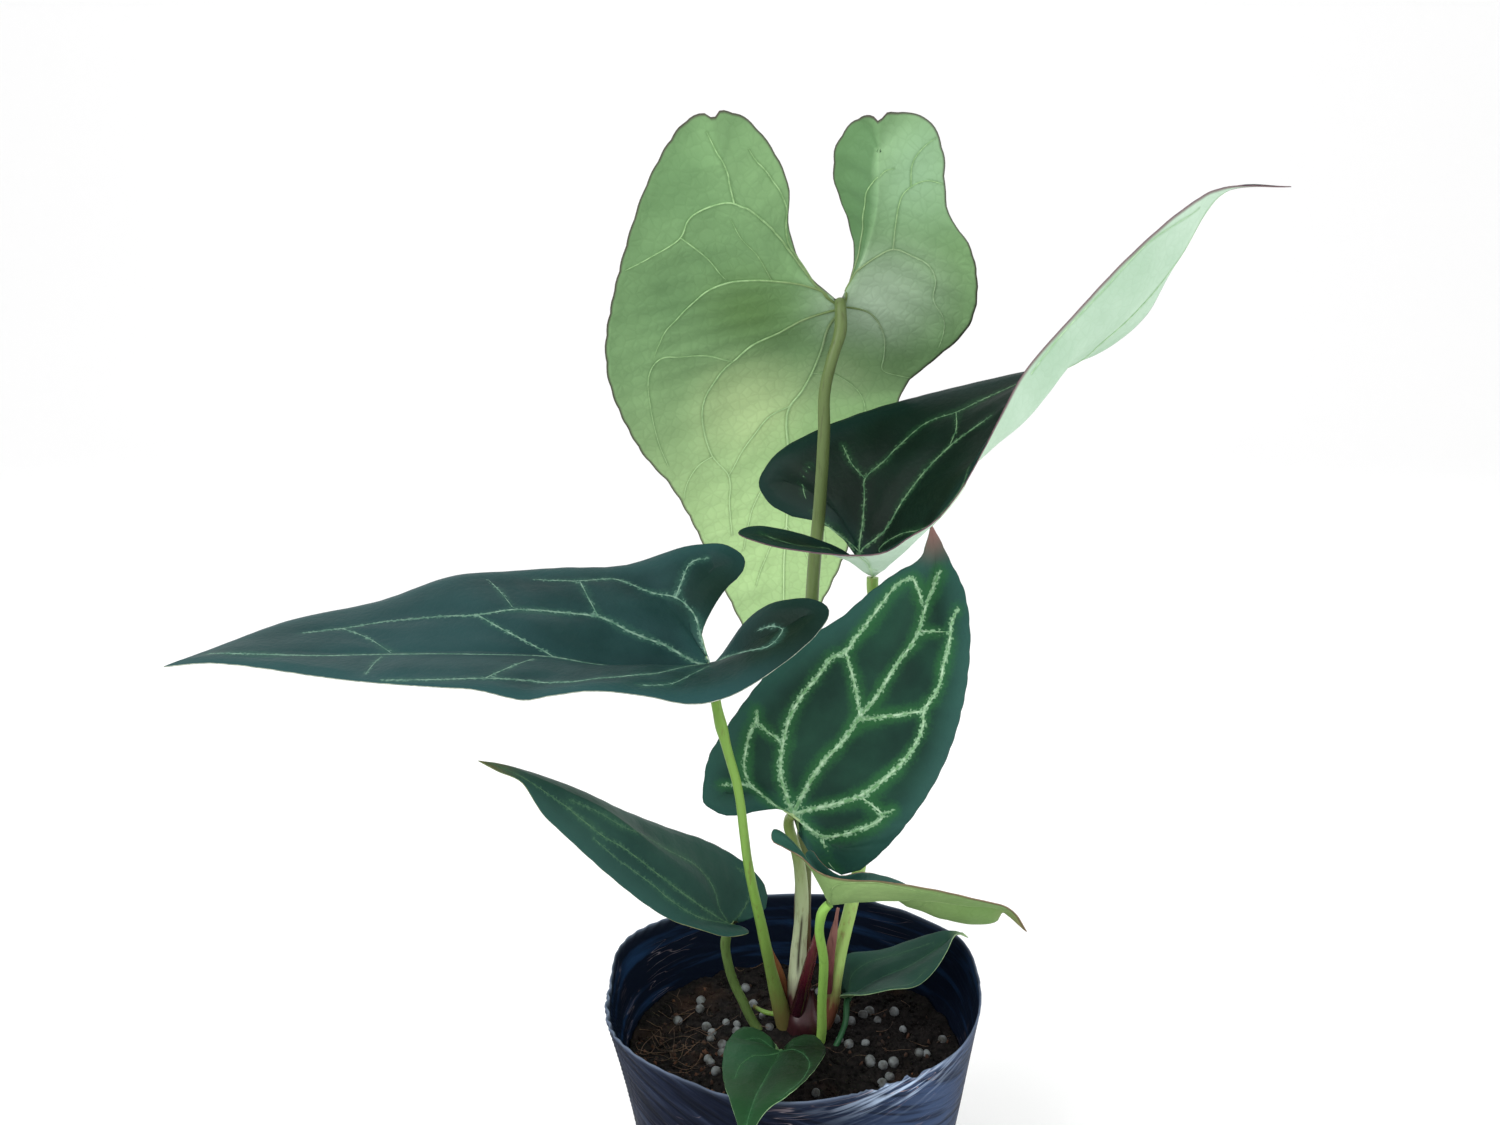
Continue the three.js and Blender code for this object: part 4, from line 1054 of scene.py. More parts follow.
def petiole(name, leaf, skin):
    """The petiole: thick at its foot, with a slight swelling below the blade, and faint furrows."""
    seat = np.array(leaf["midrib"][0], float)
    last = np.array(leaf["petiole"][-1], float)
    # It stops just short of the point where the blade starts
    end = seat + (last - seat) * STALK_GAP / np.linalg.norm(last - seat)
    path, u = path_of([*leaf["petiole"], end], STALK_STEP)
    radii = along(leaf["radii"], u)
    length = np.linalg.norm(np.diff(path, axis=0), axis=1).sum()
    below = (1 - u) * length - leaf["swelling"]
    radii = radii * (1 + leaf.get("swell_by", 0.12) * np.exp(-((below / SWELLING_REACH) ** 2)))
    lines = [(path, radii)]
    if "stub" in leaf:
        stub, v = path_of(leaf["stub"], STUB_STEP)
        lines.append((stub, along(STUB_RADII, v)))
    stalk = rods(name + "_stalk", lines, STALK_SIDES, skin)
    furrowed(stalk, FURROW, FURROWS, seed=len(name))
    if "slit" in leaf:
        opened(stalk.data, *leaf["slit"])
    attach(stalk, "root")
    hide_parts(name + "_petiole")


def opened(mesh, middle, reach):
    """A slit down the front of a petiole, pressed in and marked for its dark tone."""
    share = marks_of(mesh, "share", 1)[:, 0]
    points, normals = places_of(mesh), places_of(mesh, "normal")
    slit = np.clip(1.4 - 1.4 * (np.abs(share - middle) / reach) ** 3, 0, 1)
    slit = slit * np.clip(1.5 - np.abs(normals[:, 0]) / 0.2, 0, 1) * (normals[:, 1] < 0)
    points -= normals * (SLIT_DEPTH * slit)[:, None]
    moved_to(mesh, points * MM)
    marked(mesh, "slit", slit)

# The leaf at the back
# The largest leaf, held upright with its pale underside to the front, its two lobes up and its
# tip down behind the others. Its petiole crosses in front of it, olive and brown at the foot.
leaf_back = {
    "petiole": [(3, 12, 88), (3, 15, 99), (3, 20, 129), (4, 20, 185), (5, 15, 249), (7, 12, 280),
        (8, 12, 303), (8, 12, 315), (10, 12, 325), (13, 14, 335), (13, 16, 343)],
    "radii": (3.3, 2.3, 1.9),
    "midrib": [(13, 18, 344), (6, 40, 324), (-2, 55, 305), (-3, 70, 270), (-2, 80, 228), (-6, 84, 189)],
    "right": [(16, 17, 351), (17, 15, 360), (14, 12, 371), (10, 10, 381), (10, 6, 391), (15, 2, 398),
        (22, -8, 399), (30, -3, 400), (38, 1, 398), (43, 4, 389), (44, 6, 380), (46, 8, 371),
        (53, 11, 362), (56, 14, 355), (58, 22, 343), (56, 30, 334), (45, 40, 322), (39, 47, 315),
        (32, 62, 286), (19, 76, 243)],
    "left": [(9, 18, 347), (1, 16, 355), (-4, 13, 368), (-4, 10, 379), (-9, 6, 390), (-18, 0, 399),
        (-27, -7, 400), (-34, -6, 398), (-39, -2, 394), (-48, 4, 380), (-55, 10, 363), (-61, 19, 345),
        (-65, 30, 328), (-64, 38, 313), (-55, 51, 290), (-46, 57, 278), (-39, 65, 264), (-22, 80, 223)],
    "lobes": {"right": [(20, 12, 358), (23, 0, 375), (22, -7, 388)],
              "left": [(-3, 14, 353), (-15, 4, 368), (-25, -5, 385)]},
    "cup": {"right": [0.02, 0.05, 0.05, 0.03], "left": [0.02, 0.05, 0.05, 0.03]},
    "veins": [
        (1.5, 0.7, [(14, 20, 343), (10, 27, 336), (8, 37, 327), (5, 45, 318), (2, 50, 312),
            (-2, 54, 307), (-3, 57, 301), (-2, 63, 288), (-2, 71, 266), (-3, 77, 244), (-3, 80, 227),
            (-4, 82, 209)]),
        (1.2, 0.6, [(14, 20, 343), (6, 17, 348), (1, 16, 355), (-5, 13, 364), (-5, 11, 373),
            (-10, 6, 382), (-15, 3, 387), (-17, 1, 390)]),
        (1.3, 0.5, [(14, 20, 343), (6, 17, 348), (1, 16, 354), (-7, 11, 364), (-15, 4, 371),
            (-21, 1, 374), (-26, 3, 374), (-35, 7, 370), (-38, 10, 364), (-49, 14, 358),
            (-56, 14, 354)]),
        (0.9, 0.4, [(-21, 1, 374), (-23, -3, 382), (-26, -5, 388), (-29, -6, 394)]),
        (0.8, 0.5, [(-38, 10, 364), (-31, 13, 359), (-24, 18, 351)]),
        (1.3, 0.5, [(14, 20, 343), (3, 16, 349), (-8, 17, 351), (-17, 18, 351), (-24, 19, 350),
            (-31, 21, 347), (-37, 25, 342), (-44, 29, 335), (-47, 32, 330), (-49, 35, 325)]),
        (1.4, 0.4, [(14, 20, 343), (3, 25, 339), (-7, 31, 334), (-15, 35, 330), (-22, 39, 324),
            (-29, 44, 316), (-33, 49, 307), (-33, 54, 299), (-30, 59, 288), (-24, 63, 280),
            (-24, 68, 268), (-23, 72, 255)]),
        (0.9, 0.4, [(-22, 39, 324), (-31, 37, 326), (-39, 36, 326), (-47, 35, 325), (-51, 38, 319),
            (-51, 44, 307), (-49, 51, 294), (-46, 55, 285)]),
        (0.9, 0.5, [(-2, 54, 307), (-9, 55, 303), (-15, 59, 296), (-20, 61, 288), (-24, 63, 280)]),
        (0.6, 0.3, [(-30, 59, 288), (-35, 59, 285), (-40, 60, 277), (-41, 62, 271)]),
        (1.1, 0.5, [(14, 20, 343), (19, 22, 342), (24, 25, 340), (29, 32, 333), (30, 39, 326),
            (30, 44, 320), (35, 45, 319), (40, 45, 318)]),
        (1.2, 0.4, [(14, 20, 343), (16, 16, 350), (19, 14, 355), (23, 13, 358), (29, 12, 361),
            (35, 14, 359), (41, 16, 356), (44, 19, 351), (44, 24, 345), (48, 27, 339), (49, 31, 334),
            (48, 35, 329)]),
        (0.8, 0.4, [(29, 12, 361), (29, 6, 369), (30, 2, 376), (33, 2, 379), (38, 4, 381),
            (43, 6, 380)]),
        (0.9, 0.4, [(16, 16, 350), (18, 15, 356), (19, 10, 365), (19, 5, 373), (20, 2, 378),
            (21, -1, 380), (24, -4, 383), (27, -2, 384)]),
        (0.6, 0.3, [(33, 2, 379), (33, 0, 386), (37, 1, 391), (40, 2, 393)]),
        (0.8, 0.4, [(6, 44, 319), (11, 45, 320), (15, 46, 318), (22, 50, 313), (25, 53, 307),
            (25, 57, 300)]),
        (0.5, 0.3, [(-9, 17, 351), (-14, 11, 359), (-19, 8, 364), (-22, 5, 370)]),
        (0.6, 0.3, [(-2, 65, 284), (-9, 67, 278), (-14, 69, 270), (-17, 72, 260), (-19, 75, 249)]),
        (0.6, 0.3, [(-2, 65, 284), (4, 67, 278), (9, 70, 269), (12, 73, 258), (13, 76, 246)]),
        (0.5, 0.3, [(-2, 73, 259), (-7, 75, 253), (-11, 77, 244), (-14, 79, 234)]),
        (0.5, 0.3, [(-2, 73, 259), (3, 75, 252), (7, 77, 244), (8, 78, 236)]),
    ],
    "slot": "leaf_dark", "swelling": 10, "rib": 0.7, "waves": (0.38, 10, 0.22, 9),
    "nicks": [(-27, -7, 400), (22, -8, 399)],
}
skins = [
    upper_skin("back_upper", (14, 44, 34), (24, 58, 44), (60, 110, 66), (130, 160, 124), (28, 70, 60)),
    under_skin("back_under", (104, 140, 94), (132, 170, 118), (76, 110, 64), strip_shade=(72, 110, 68),
               rim=(62, 42, 50), patches=(
        # Painted light shining through the thin blade: bright over the lower middle, beside the seat and
        # below it
        ((-10, 76, 250), 112, (192, 224, 162), 0.95),
        ((26, 14, 338), 34, (198, 220, 196), 0.85),
        ((-14, 36, 298), 34, (224, 244, 180), 0.95),
        ((14, 30, 306), 26, (222, 238, 192), 0.9),
        ((34, 4, 384), 30, (150, 186, 152), 0.6),
        ((-16, 23, 340), 26, (92, 126, 70), 0.75),
    )),
    plain_skin("back_rim", (62, 44, 54), (88, 66, 70)),
    plain_skin("back_upper_rib", (104, 144, 106), (150, 182, 146)),
    plain_skin("back_under_rib", (132, 170, 116), (156, 192, 138), patches=(
        # The ribs take the same painted light through the blade, and turn dark olive at the seat
        ((-10, 76, 250), 105, (206, 234, 180), 0.95),
        ((24, 16, 338), 40, (206, 228, 204), 0.8),
        ((13, 18, 344), 42, (96, 116, 60), 0.95),
    )),
]
blade("leaf_back", leaf_back, skins, row_step=1.6, across=44)
stalk = stalk_skin("back_stalk", (90, 56, 46), (98, 106, 66), (92, 110, 64), (70, 76, 46), foot_end=0.1,
                   middle_end=0.35)
petiole("leaf_back", leaf_back, stalk)

# The twisted leaf at the right
# Its left half lies open, dark with pale veins, and beyond its midrib the blade turns over, so that
# its pale underside runs up to a long thin tip. The petiole is whitish green, brown at the foot.
leaf_right = {
    "petiole": [(10, 10, 86), (13, 11, 94), (14, 12, 102), (17, 14, 117), (20, 17, 128), (24, 22, 146),
        (26, 22, 188), (26, 18, 223), (26, 14, 242), (25, 12, 251)],
    "radii": (3.4, 2.5, 2.2, 2, 2),
    "midrib": [(25, 12, 254), (28, 13, 265), (35, 14, 278), (50, 16, 296), (66, 18, 308), (87, 18, 323),
        (105, 16, 338), (119, 12, 357), (131, 8, 378), (150, 4, 379)],
    "right": [(15, 5, 264), (6, 0, 269), (-3, -6, 273), (-15, -12, 276), (-20, -18, 275),
        (-11, -26, 273), (4, -33, 272), (15, -36, 272), (24, -36, 273), (31, -34, 277), (38, -32, 281),
        (45, -29, 288), (52, -24, 298), (61, -16, 313), (68, -10, 324), (84, -6, 342), (100, -4, 359),
        (117, 0, 373), (130, 6, 379)],
    "left": [(18, 16, 262), (14, 20, 267), (6, 27, 270), (-3, 33, 271), (-10, 38, 275), (-13, 41, 281),
        (-7, 42, 291), (7, 44, 299), (26, 46, 306), (40, 46, 310), (59, 44, 315), (79, 40, 320),
        (93, 36, 323), (103, 30, 328), (114, 24, 339), (119, 18, 353), (126, 12, 370), (132, 9, 378)],
    "lobes": {"right": [(8, -8, 267), (-5, -14, 272), (-13, -17, 274)],
              "left": [(17, 22, 270), (4, 33, 280), (-4, 38, 282)]},
    "cup": {"right": [-0.03, -0.03, -0.02, -0.03, -0.3, -0.15, -0.05], "left": [0.04, 0.04, 0, -0.05]},
    "veins": [
        (1.3, 0.5, [(24, 12, 255), (21, 16, 261), (29, 14, 269), (35, 15, 279), (42, 16, 289),
            (50, 17, 297), (57, 18, 302), (64, 19, 307)]),
        (1.3, 0.5, [(71, 19, 312), (89, 27, 322), (98, 18, 331), (107, 16, 340), (115, 14, 350),
            (122, 11, 363), (127, 9, 374), (132, 8, 378)]),
        (1.1, 0.4, [(24, 12, 255), (21, 16, 261), (22, 19, 272), (23, 23, 279), (23, 26, 285),
            (29, 27, 290), (36, 29, 297), (45, 32, 303), (54, 30, 307), (64, 31, 311), (76, 31, 317)]),
        (0.7, 0.4, [(23, 26, 285), (19, 31, 289), (16, 37, 295)]),
        (0.7, 0.5, [(54, 30, 307), (53, 22, 302), (50, 17, 297)]),
        (0.9, 0.5, [(24, 12, 255), (21, 16, 261), (15, 19, 266), (9, 25, 270), (6, 29, 273),
            (3, 33, 278), (2, 34, 283), (5, 35, 288)]),
        (0.9, 0.4, [(25, 12, 254), (16, -36, 272), (27, 13, 263), (33, 3, 270), (37, -13, 275),
            (40, -31, 283), (47, -28, 291), (58, -1, 296)]),
        (0.7, 0.3, [(25, 12, 254), (16, -36, 272), (10, -3, 266), (-2, -20, 271), (-12, -16, 274)]),
        (0.7, 0.3, [(70, -9, 323), (80, -6, 336), (90, -5, 346), (105, -3, 362), (122, 4, 373)]),
    ],
    "slot": "leaf_dark", "swelling": 16, "rib": 0.55,
}
skins = [
    upper_skin("right_upper", (9, 27, 19), (15, 37, 28), (30, 66, 40), (96, 134, 96), (20, 48, 44),
               halo_width=2.2, halo_strength=0.5, core_width=0.55, core_strength=0.5),
    under_skin("right_under", (166, 196, 170), (192, 216, 196), (116, 158, 110), rim=(112, 84, 92),
               net_strength=0.06),
    plain_skin("right_rim", (84, 60, 72), (108, 84, 88)),
    plain_skin("right_upper_rib", (66, 106, 74), (122, 156, 118)),
    plain_skin("right_under_rib", (150, 188, 144), (178, 208, 170)),
]
blade("leaf_right", leaf_right, skins, row_step=1.6, across=36)
stalk = stalk_skin("right_stalk", (108, 66, 50), (182, 218, 126), (140, 172, 96), (150, 124, 84),
                   foot_end=0.05, middle_end=0.3)
petiole("leaf_right", leaf_right, stalk)

# The long leaf at the left
# A long flat leaf, seen at a low angle, that ends in a drawn-out tip. One lobe stands up, the other
# folds forward. Its yellow-green petiole is swollen below the blade and has a stub of root below.
leaf_long = {
    "petiole": [(-2, 10, 82), (-4, 8, 90), (-8, 3, 109), (-12, -5, 133), (-17, -14, 163),
        (-20, -18, 190), (-24, -18, 206), (-27, -15, 218), (-28, -12, 224)],
    "radii": (3.5, 2, 1.6, 1.5, 1.7),
    "midrib": [(-29, -10, 230), (-45, -14, 230), (-60, -18, 232), (-78, -24, 237), (-106, -30, 240),
        (-137, -38, 242), (-167, -46, 245), (-186, -50, 242)],
    "right": [(-31, -6, 234), (-32, -2, 238), (-30, 4, 242), (-28, 8, 245), (-24, 12, 250),
        (-19, 16, 254), (-18, 20, 258), (-24, 24, 262), (-37, 28, 261), (-60, 28, 254), (-82, 24, 254),
        (-98, 19, 254), (-116, 12, 254), (-138, 2, 248), (-162, -15, 246), (-178, -36, 243)],
    "left": [(-26, -12, 233), (-22, -13, 239), (-18, -14, 245), (-10, -17, 252), (3, -22, 255),
        (8, -28, 253), (4, -36, 248), (-11, -48, 239), (-23, -54, 234), (-33, -57, 233), (-47, -58, 236),
        (-61, -60, 238), (-72, -61, 237), (-80, -62, 236), (-93, -62, 239), (-106, -62, 240),
        (-131, -59, 241), (-170, -53, 244)],
    "lobes": {"right": [(-36, 1, 239), (-35, 10, 248), (-28, 18, 255)],
              "left": [(-21, -22, 237), (-10, -27, 245), (1, -26, 250)]},
    "cup": {"right": [0.05, 0.06, 0.05, 0.03], "left": [0.05, 0.06, 0.05, 0.03]},
    "veins": [
        (1.1, 0.5, [(-29, -12, 231), (-43, -16, 231), (-59, -22, 233), (-75, -25, 237), (-93, -31, 240),
            (-112, -34, 241), (-131, -38, 242), (-148, -44, 243), (-167, -47, 245), (-176, -44, 244)]),
        (1.3, 0.4, [(-29, -12, 231), (-35, -10, 231), (-43, -7, 235), (-54, -5, 239), (-65, -1, 243),
            (-76, -2, 245), (-92, -7, 247), (-103, -12, 247), (-117, -13, 247), (-132, -16, 246),
            (-143, -22, 245), (-154, -27, 245)]),
        (0.8, 0.6, [(-103, -12, 247), (-95, -17, 244), (-86, -21, 241), (-75, -25, 237)]),
        (0.9, 0.5, [(-66, -1, 243), (-70, 7, 247), (-74, 16, 251)]),
        (0.4, 0.3, [(-93, -6, 248), (-99, 3, 251), (-104, 10, 253)]),
        (0.4, 0.3, [(-143, -22, 245), (-134, -27, 244), (-124, -35, 241)]),
        (1.1, 0.4, [(-29, -12, 231), (-32, -3, 237), (-35, 5, 243), (-41, 10, 247), (-50, 13, 248),
            (-62, 19, 251), (-74, 16, 251), (-89, 14, 252)]),
        (0.9, 0.4, [(-41, 10, 247), (-39, 15, 252), (-36, 21, 257), (-31, 21, 258)]),
        (1, 0.4, [(-29, -12, 231), (-42, -36, 236), (-51, -44, 237), (-65, -51, 238), (-79, -51, 238),
            (-92, -55, 240), (-106, -58, 240), (-120, -59, 241)]),
        (0.7, 0.5, [(-92, -55, 240), (-87, -45, 240), (-82, -33, 239)]),
        (0.5, 0.4, [(-126, -55, 241), (-126, -46, 242), (-126, -39, 242)]),
        (0.9, 0.5, [(-29, -12, 231), (-23, -20, 236), (-16, -32, 241), (-10, -36, 244), (-7, -32, 246),
            (-6, -28, 247), (-9, -25, 247), (-14, -23, 245)]),
        (0.5, 0.3, [(-29, -27, 235), (-34, -37, 235), (-40, -48, 236), (-48, -52, 237)]),
    ],
    "slot": "leaf_dark", "rib": 0.6, "swelling": 20, "swell_by": 0.25,
    "stub": [(-15, 13, 92), (-11, 11, 91), (-5, 9, 91)],
}
skins = [
    upper_skin("long_upper", (20, 48, 48), (32, 62, 62), (46, 84, 72), (112, 150, 132), (40, 76, 76),
               halo_width=2.2, halo_strength=0.5, core_width=0.6, core_strength=0.55, patches=(
        # A paler blue-green toward the tip, and painted shadow on both lobes by the petiole
        ((-120, -30, 245), 70, (38, 72, 74), 0.6),
        ((-24, 8, 250), 28, (12, 34, 20), 0.85),
        ((-3, -32, 248), 40, (11, 31, 21), 0.95),
    )),
    under_skin("long_under", (110, 146, 100), (138, 172, 120), (94, 128, 80)),
    plain_skin("long_rim", (120, 132, 118), (176, 182, 166)),
    plain_skin("long_upper_rib", (76, 116, 98), (132, 164, 146)),
    plain_skin("long_under_rib", (150, 178, 124), (174, 196, 148)),
]
blade("leaf_long", leaf_long, skins, row_step=1.8, across=40)
stalk = stalk_skin("long_stalk", (112, 104, 60), (116, 144, 72), (118, 156, 70), (104, 98, 56),
                   foot_end=0.08, middle_end=0.32)
petiole("leaf_long", leaf_long, stalk)

# The leaf with the brightest veins
# It stands facing the front, deep green with silvery veins and a bluish border that is partly painted sheen,
# and its tip has a pinkish brown tint. Its short petiole shows the dark slit where the shoot came out.
leaf_bright = {
    "petiole": [(3, 9, 89), (1, 9, 97), (1, 8, 114), (2, 4, 137), (1, 1, 153), (-1, -2, 163),
        (-3, -3, 170), (-3, -5, 174)],
    "radii": (3.8, 2.4, 1.6),
    "midrib": [(-2, -8, 177), (8, -8, 194), (20, -4, 209), (30, 0, 223), (38, 4, 234), (45, 10, 255),
        (44, 12, 272)],
    "right": [(1, -11, 169), (7, -13, 162), (16, -14, 158), (24, -14, 163), (34, -12, 173),
        (43, -9, 185), (49, -6, 196), (53, -4, 208), (56, 0, 221), (57, 4, 238), (55, 8, 251),
        (51, 10, 259), (47, 12, 267)],
    "left": [(-6, -6, 178), (-14, -3, 176), (-20, -2, 174), (-26, -1, 174), (-32, 0, 178), (-32, 0, 184),
        (-30, -1, 195), (-24, -3, 206), (-19, -4, 214), (-11, -5, 225), (0, -4, 236), (13, -1, 243),
        (23, 2, 251), (32, 5, 257), (40, 8, 261), (42, 10, 265), (43, 11, 268)],
    "lobes": {"right": [(4, -11, 173), (12, -13, 167)],
              "left": [(-12, -5, 182), (-24, -1, 182)]},
    "cup": {"right": [0.05, 0.06, 0.05, 0.03], "left": [0.05, 0.06, 0.05, 0.03]},
    "veins": [
        (1.5, 0.7, [(-2, -8, 177), (2, -8, 186), (8, -8, 196), (15, -6, 203), (20, -4, 210),
            (26, -2, 217), (32, 1, 226), (39, 4, 235), (42, 7, 244), (46, 9, 254), (47, 10, 256)]),
        (1.2, 0.5, [(-2, -8, 177), (-4, -8, 184), (-6, -9, 191), (-6, -9, 198), (-5, -8, 204),
            (-3, -8, 212), (1, -7, 219), (6, -6, 225), (11, -4, 231), (15, -3, 232), (18, -2, 236),
            (23, 0, 242), (27, 2, 247), (32, 5, 253), (37, 7, 255)]),
        (0.9, 0.8, [(15, -3, 232), (17, -4, 226), (19, -4, 217), (20, -4, 210)]),
        (0.8, 0.6, [(37, 7, 255), (39, 7, 252), (41, 7, 246)]),
        (1, 0.5, [(-2, -8, 177), (-8, -6, 180), (-13, -6, 184), (-17, -6, 188), (-18, -6, 194),
            (-17, -6, 201), (-16, -6, 206), (-14, -6, 209), (-14, -6, 213)]),
        (0.7, 0.3, [(-16, -5, 187), (-21, -3, 186), (-26, -2, 185)]),
        (0.7, 0.5, [(-14, -6, 209), (-10, -8, 206), (-6, -8, 203)]),
        (1.3, 0.5, [(-2, -8, 177), (5, -10, 180), (12, -11, 182), (20, -11, 185), (26, -11, 189),
            (33, -9, 195), (38, -7, 201), (41, -6, 208), (41, -4, 212), (46, -2, 219), (48, 0, 227),
            (50, 3, 234), (51, 5, 241), (53, 6, 244)]),
        (0.9, 0.7, [(20, -4, 209), (25, -5, 210), (32, -5, 211), (38, -5, 212), (41, -4, 212)]),
        (0.4, 0.3, [(40, 5, 237), (45, 4, 237), (50, 4, 237)]),
        (1, 0.7, [(-2, -8, 177), (4, -11, 173), (8, -12, 171), (14, -13, 172), (20, -13, 174),
            (25, -13, 176), (28, -12, 178), (24, -11, 182), (20, -11, 185)]),
        (0.5, 0.3, [(28, -12, 179), (31, -11, 180)]),
        (0.6, 0.3, [(8, -12, 171), (9, -13, 165), (10, -14, 162), (12, -14, 160)]),
    ],
    "slot": "leaf_green", "rib": 0.9, "swelling": 8, "slit": (0.37, 0.15), "waves": (0.12, 8, 0.16, 7),
}
skins = [
    upper_skin("bright_upper", (22, 50, 42), (32, 68, 54), (48, 106, 56), (148, 188, 150), (58, 104, 98),
               halo_width=4.2, halo_strength=0.62, core_width=0.75, core_strength=0.8, rim_strength=0.45,
               patches=(
        ((44, 12, 272), 16, (150, 104, 100), 0.8),
    )),
    under_skin("bright_under", (116, 152, 102), (144, 178, 122), (96, 130, 80)),
    plain_skin("bright_rim", (62, 96, 86), (90, 122, 104)),
    plain_skin("bright_upper_rib", (104, 152, 104), (176, 206, 174)),
    plain_skin("bright_under_rib", (154, 182, 126), (178, 200, 148)),
]
blade("leaf_bright", leaf_bright, skins, row_step=1.5, across=40)
stalk = stalk_skin("bright_stalk", (84, 50, 52), (218, 228, 192), (116, 136, 74), (136, 132, 96),
                   foot_end=0.12, middle_end=0.75, slit=(44, 20, 26))
petiole("leaf_bright", leaf_bright, stalk)

# The low leaf at the left
# A narrow young leaf that leans out to the left, with a pale midrib and a brownish tip. Its petiole
# leaves the stem inside the mix and comes up beside it at the left.
leaf_low_left = {
    "petiole": [(-1, 8, 71), (-8, 8, 79), (-15, 9, 88), (-19, 9, 97), (-22, 9, 104), (-24, 8, 112),
        (-25, 7, 120), (-24, 5, 127)],
    "radii": (1.9, 1.7, 1.6),
    "midrib": [(-23, 4, 130), (-33, 0, 147), (-47, -6, 163), (-62, -14, 180), (-77, -20, 191),
        (-92, -26, 201), (-101, -30, 205)],
    "right": [(-17, 9, 129), (-11, 14, 130), (-10, 18, 135), (-15, 21, 142), (-23, 22, 148),
        (-33, 19, 155), (-43, 14, 161), (-53, 8, 168), (-71, -4, 182), (-80, -11, 190), (-90, -22, 199),
        (-96, -27, 203)],
    "left": [(-19, 2, 130), (-17, -2, 131), (-17, -6, 132), (-24, -10, 133), (-33, -14, 138),
        (-42, -17, 143), (-50, -20, 150), (-62, -24, 163), (-74, -27, 177), (-82, -29, 187),
        (-88, -30, 198), (-95, -31, 202)],
    "lobes": {"right": [(-18, 11, 132), (-14, 16, 135)],
              "left": [(-22, -2, 132), (-19, -4, 132)]},
    "cup": {"right": [0.04, 0.05, 0.04, 0.02], "left": [0.04, 0.05, 0.04, 0.02]},
    "veins": [
        (0.9, 0.4, [(-23, 3, 130), (-32, -5, 141), (-41, -10, 151), (-50, -13, 160), (-57, -16, 168),
            (-64, -20, 175), (-71, -22, 182), (-76, -23, 187), (-88, -28, 199), (-98, -29, 204)]),
        (0.6, 0.3, [(-23, 3, 130), (-27, 2, 137), (-28, 4, 142), (-31, 5, 147), (-36, 4, 153),
            (-44, -1, 160), (-50, -5, 166), (-59, -14, 176), (-66, -17, 182), (-74, -21, 188)]),
        (0.5, 0.3, [(-23, 1, 131), (-34, -9, 140), (-43, -14, 149), (-49, -16, 156), (-60, -20, 167),
            (-67, -22, 175)]),
        (0.5, 0.3, [(-23, 3, 130), (-19, 10, 132), (-16, 15, 136), (-16, 18, 140), (-21, 19, 144)]),
    ],
    "slot": "leaf_dark", "swelling": 8, "rib": 0.5,
}
skins = [
    upper_skin("low_left_upper", (30, 62, 56), (40, 74, 66), (52, 90, 70), (84, 122, 96), (44, 80, 74),
               halo_width=1.8, halo_strength=0.45, core_width=0.6, core_strength=0.38, patches=(
        ((-101, -30, 205), 16, (130, 116, 76), 0.7),
    )),
    under_skin("low_left_under", (116, 148, 96), (140, 172, 114), (96, 128, 76)),
    plain_skin("low_left_rim", (104, 122, 84), (134, 140, 100)),
    plain_skin("low_left_upper_rib", (60, 98, 72), (88, 124, 90)),
    plain_skin("low_left_under_rib", (150, 176, 122), (174, 196, 146)),
]
blade("leaf_low_left", leaf_low_left, skins, row_step=1.5, across=30)
stalk = stalk_skin("low_left_stalk", (80, 88, 56), (90, 114, 62), (98, 124, 68), (70, 82, 48),
                   foot_end=0.06, middle_end=0.4)
petiole("leaf_low_left", leaf_low_left, stalk)

# The folded leaf at the right
# Folded along its midrib with the olive underside out. A dark strip of the upper face shows along
# the top edge. Its petiole is the brightest green.
leaf_folded = {
    "petiole": [(6, 5, 74), (9, 1, 86), (9, -4, 105), (9, -10, 124), (7, -16, 139), (8, -21, 149)],
    "radii": (1.8, 1.6, 1.5),
    "midrib": [(10, -22, 152), (20, -21, 153), (37, -20, 153), (52, -20, 151), (66, -22, 150),
        (74, -26, 144)],
    "right": [(8, -21, 156), (4, -19, 163), (-1, -17, 170), (-6, -17, 175), (-9, -20, 177),
        (-9, -24, 175), (-6, -26, 174), (0, -29, 172), (5, -31, 168), (12, -34, 167), (26, -36, 167),
        (43, -36, 164), (57, -33, 159), (66, -30, 155), (70, -28, 151)],
    "left": [(7, -19, 157), (4, -17, 163), (2, -16, 167), (4, -16, 168), (7, -18, 165), (13, -20, 161),
        (19, -18, 161), (26, -9, 156), (39, 1, 146), (49, -4, 138), (58, -10, 138), (66, -16, 142),
        (67, -20, 148)],
    "lobes": {"right": [(6, -24, 161), (1, -24, 170), (-4, -22, 174)],
              "left": [(8, -20, 157), (6, -18, 160), (4, -17, 164)]},
    "cup": {"right": [0, -0.1, -0.1, -0.05], "left": [0, -0.1, -0.2, -0.1]},
    "veins": [
        (0.8, 0.4, [(10, -23, 153), (23, -26, 155), (39, -26, 155), (51, -23, 153), (66, -23, 151),
            (71, -25, 148)]),
        (0.5, 0.3, [(10, -22, 152), (18, -19, 154), (34, -6, 147), (45, -20, 152), (56, -20, 150)]),
        (0.5, 0.3, [(10, -23, 153), (7, -21, 158), (2, -24, 169), (-2, -17, 172)]),
        (0.5, 0.3, [(10, -23, 153), (11, -33, 164), (22, -35, 167), (35, -36, 164), (52, -33, 160)]),
    ],
    "slot": "leaf_dark", "swelling": 6, "rib": 0.6,
}
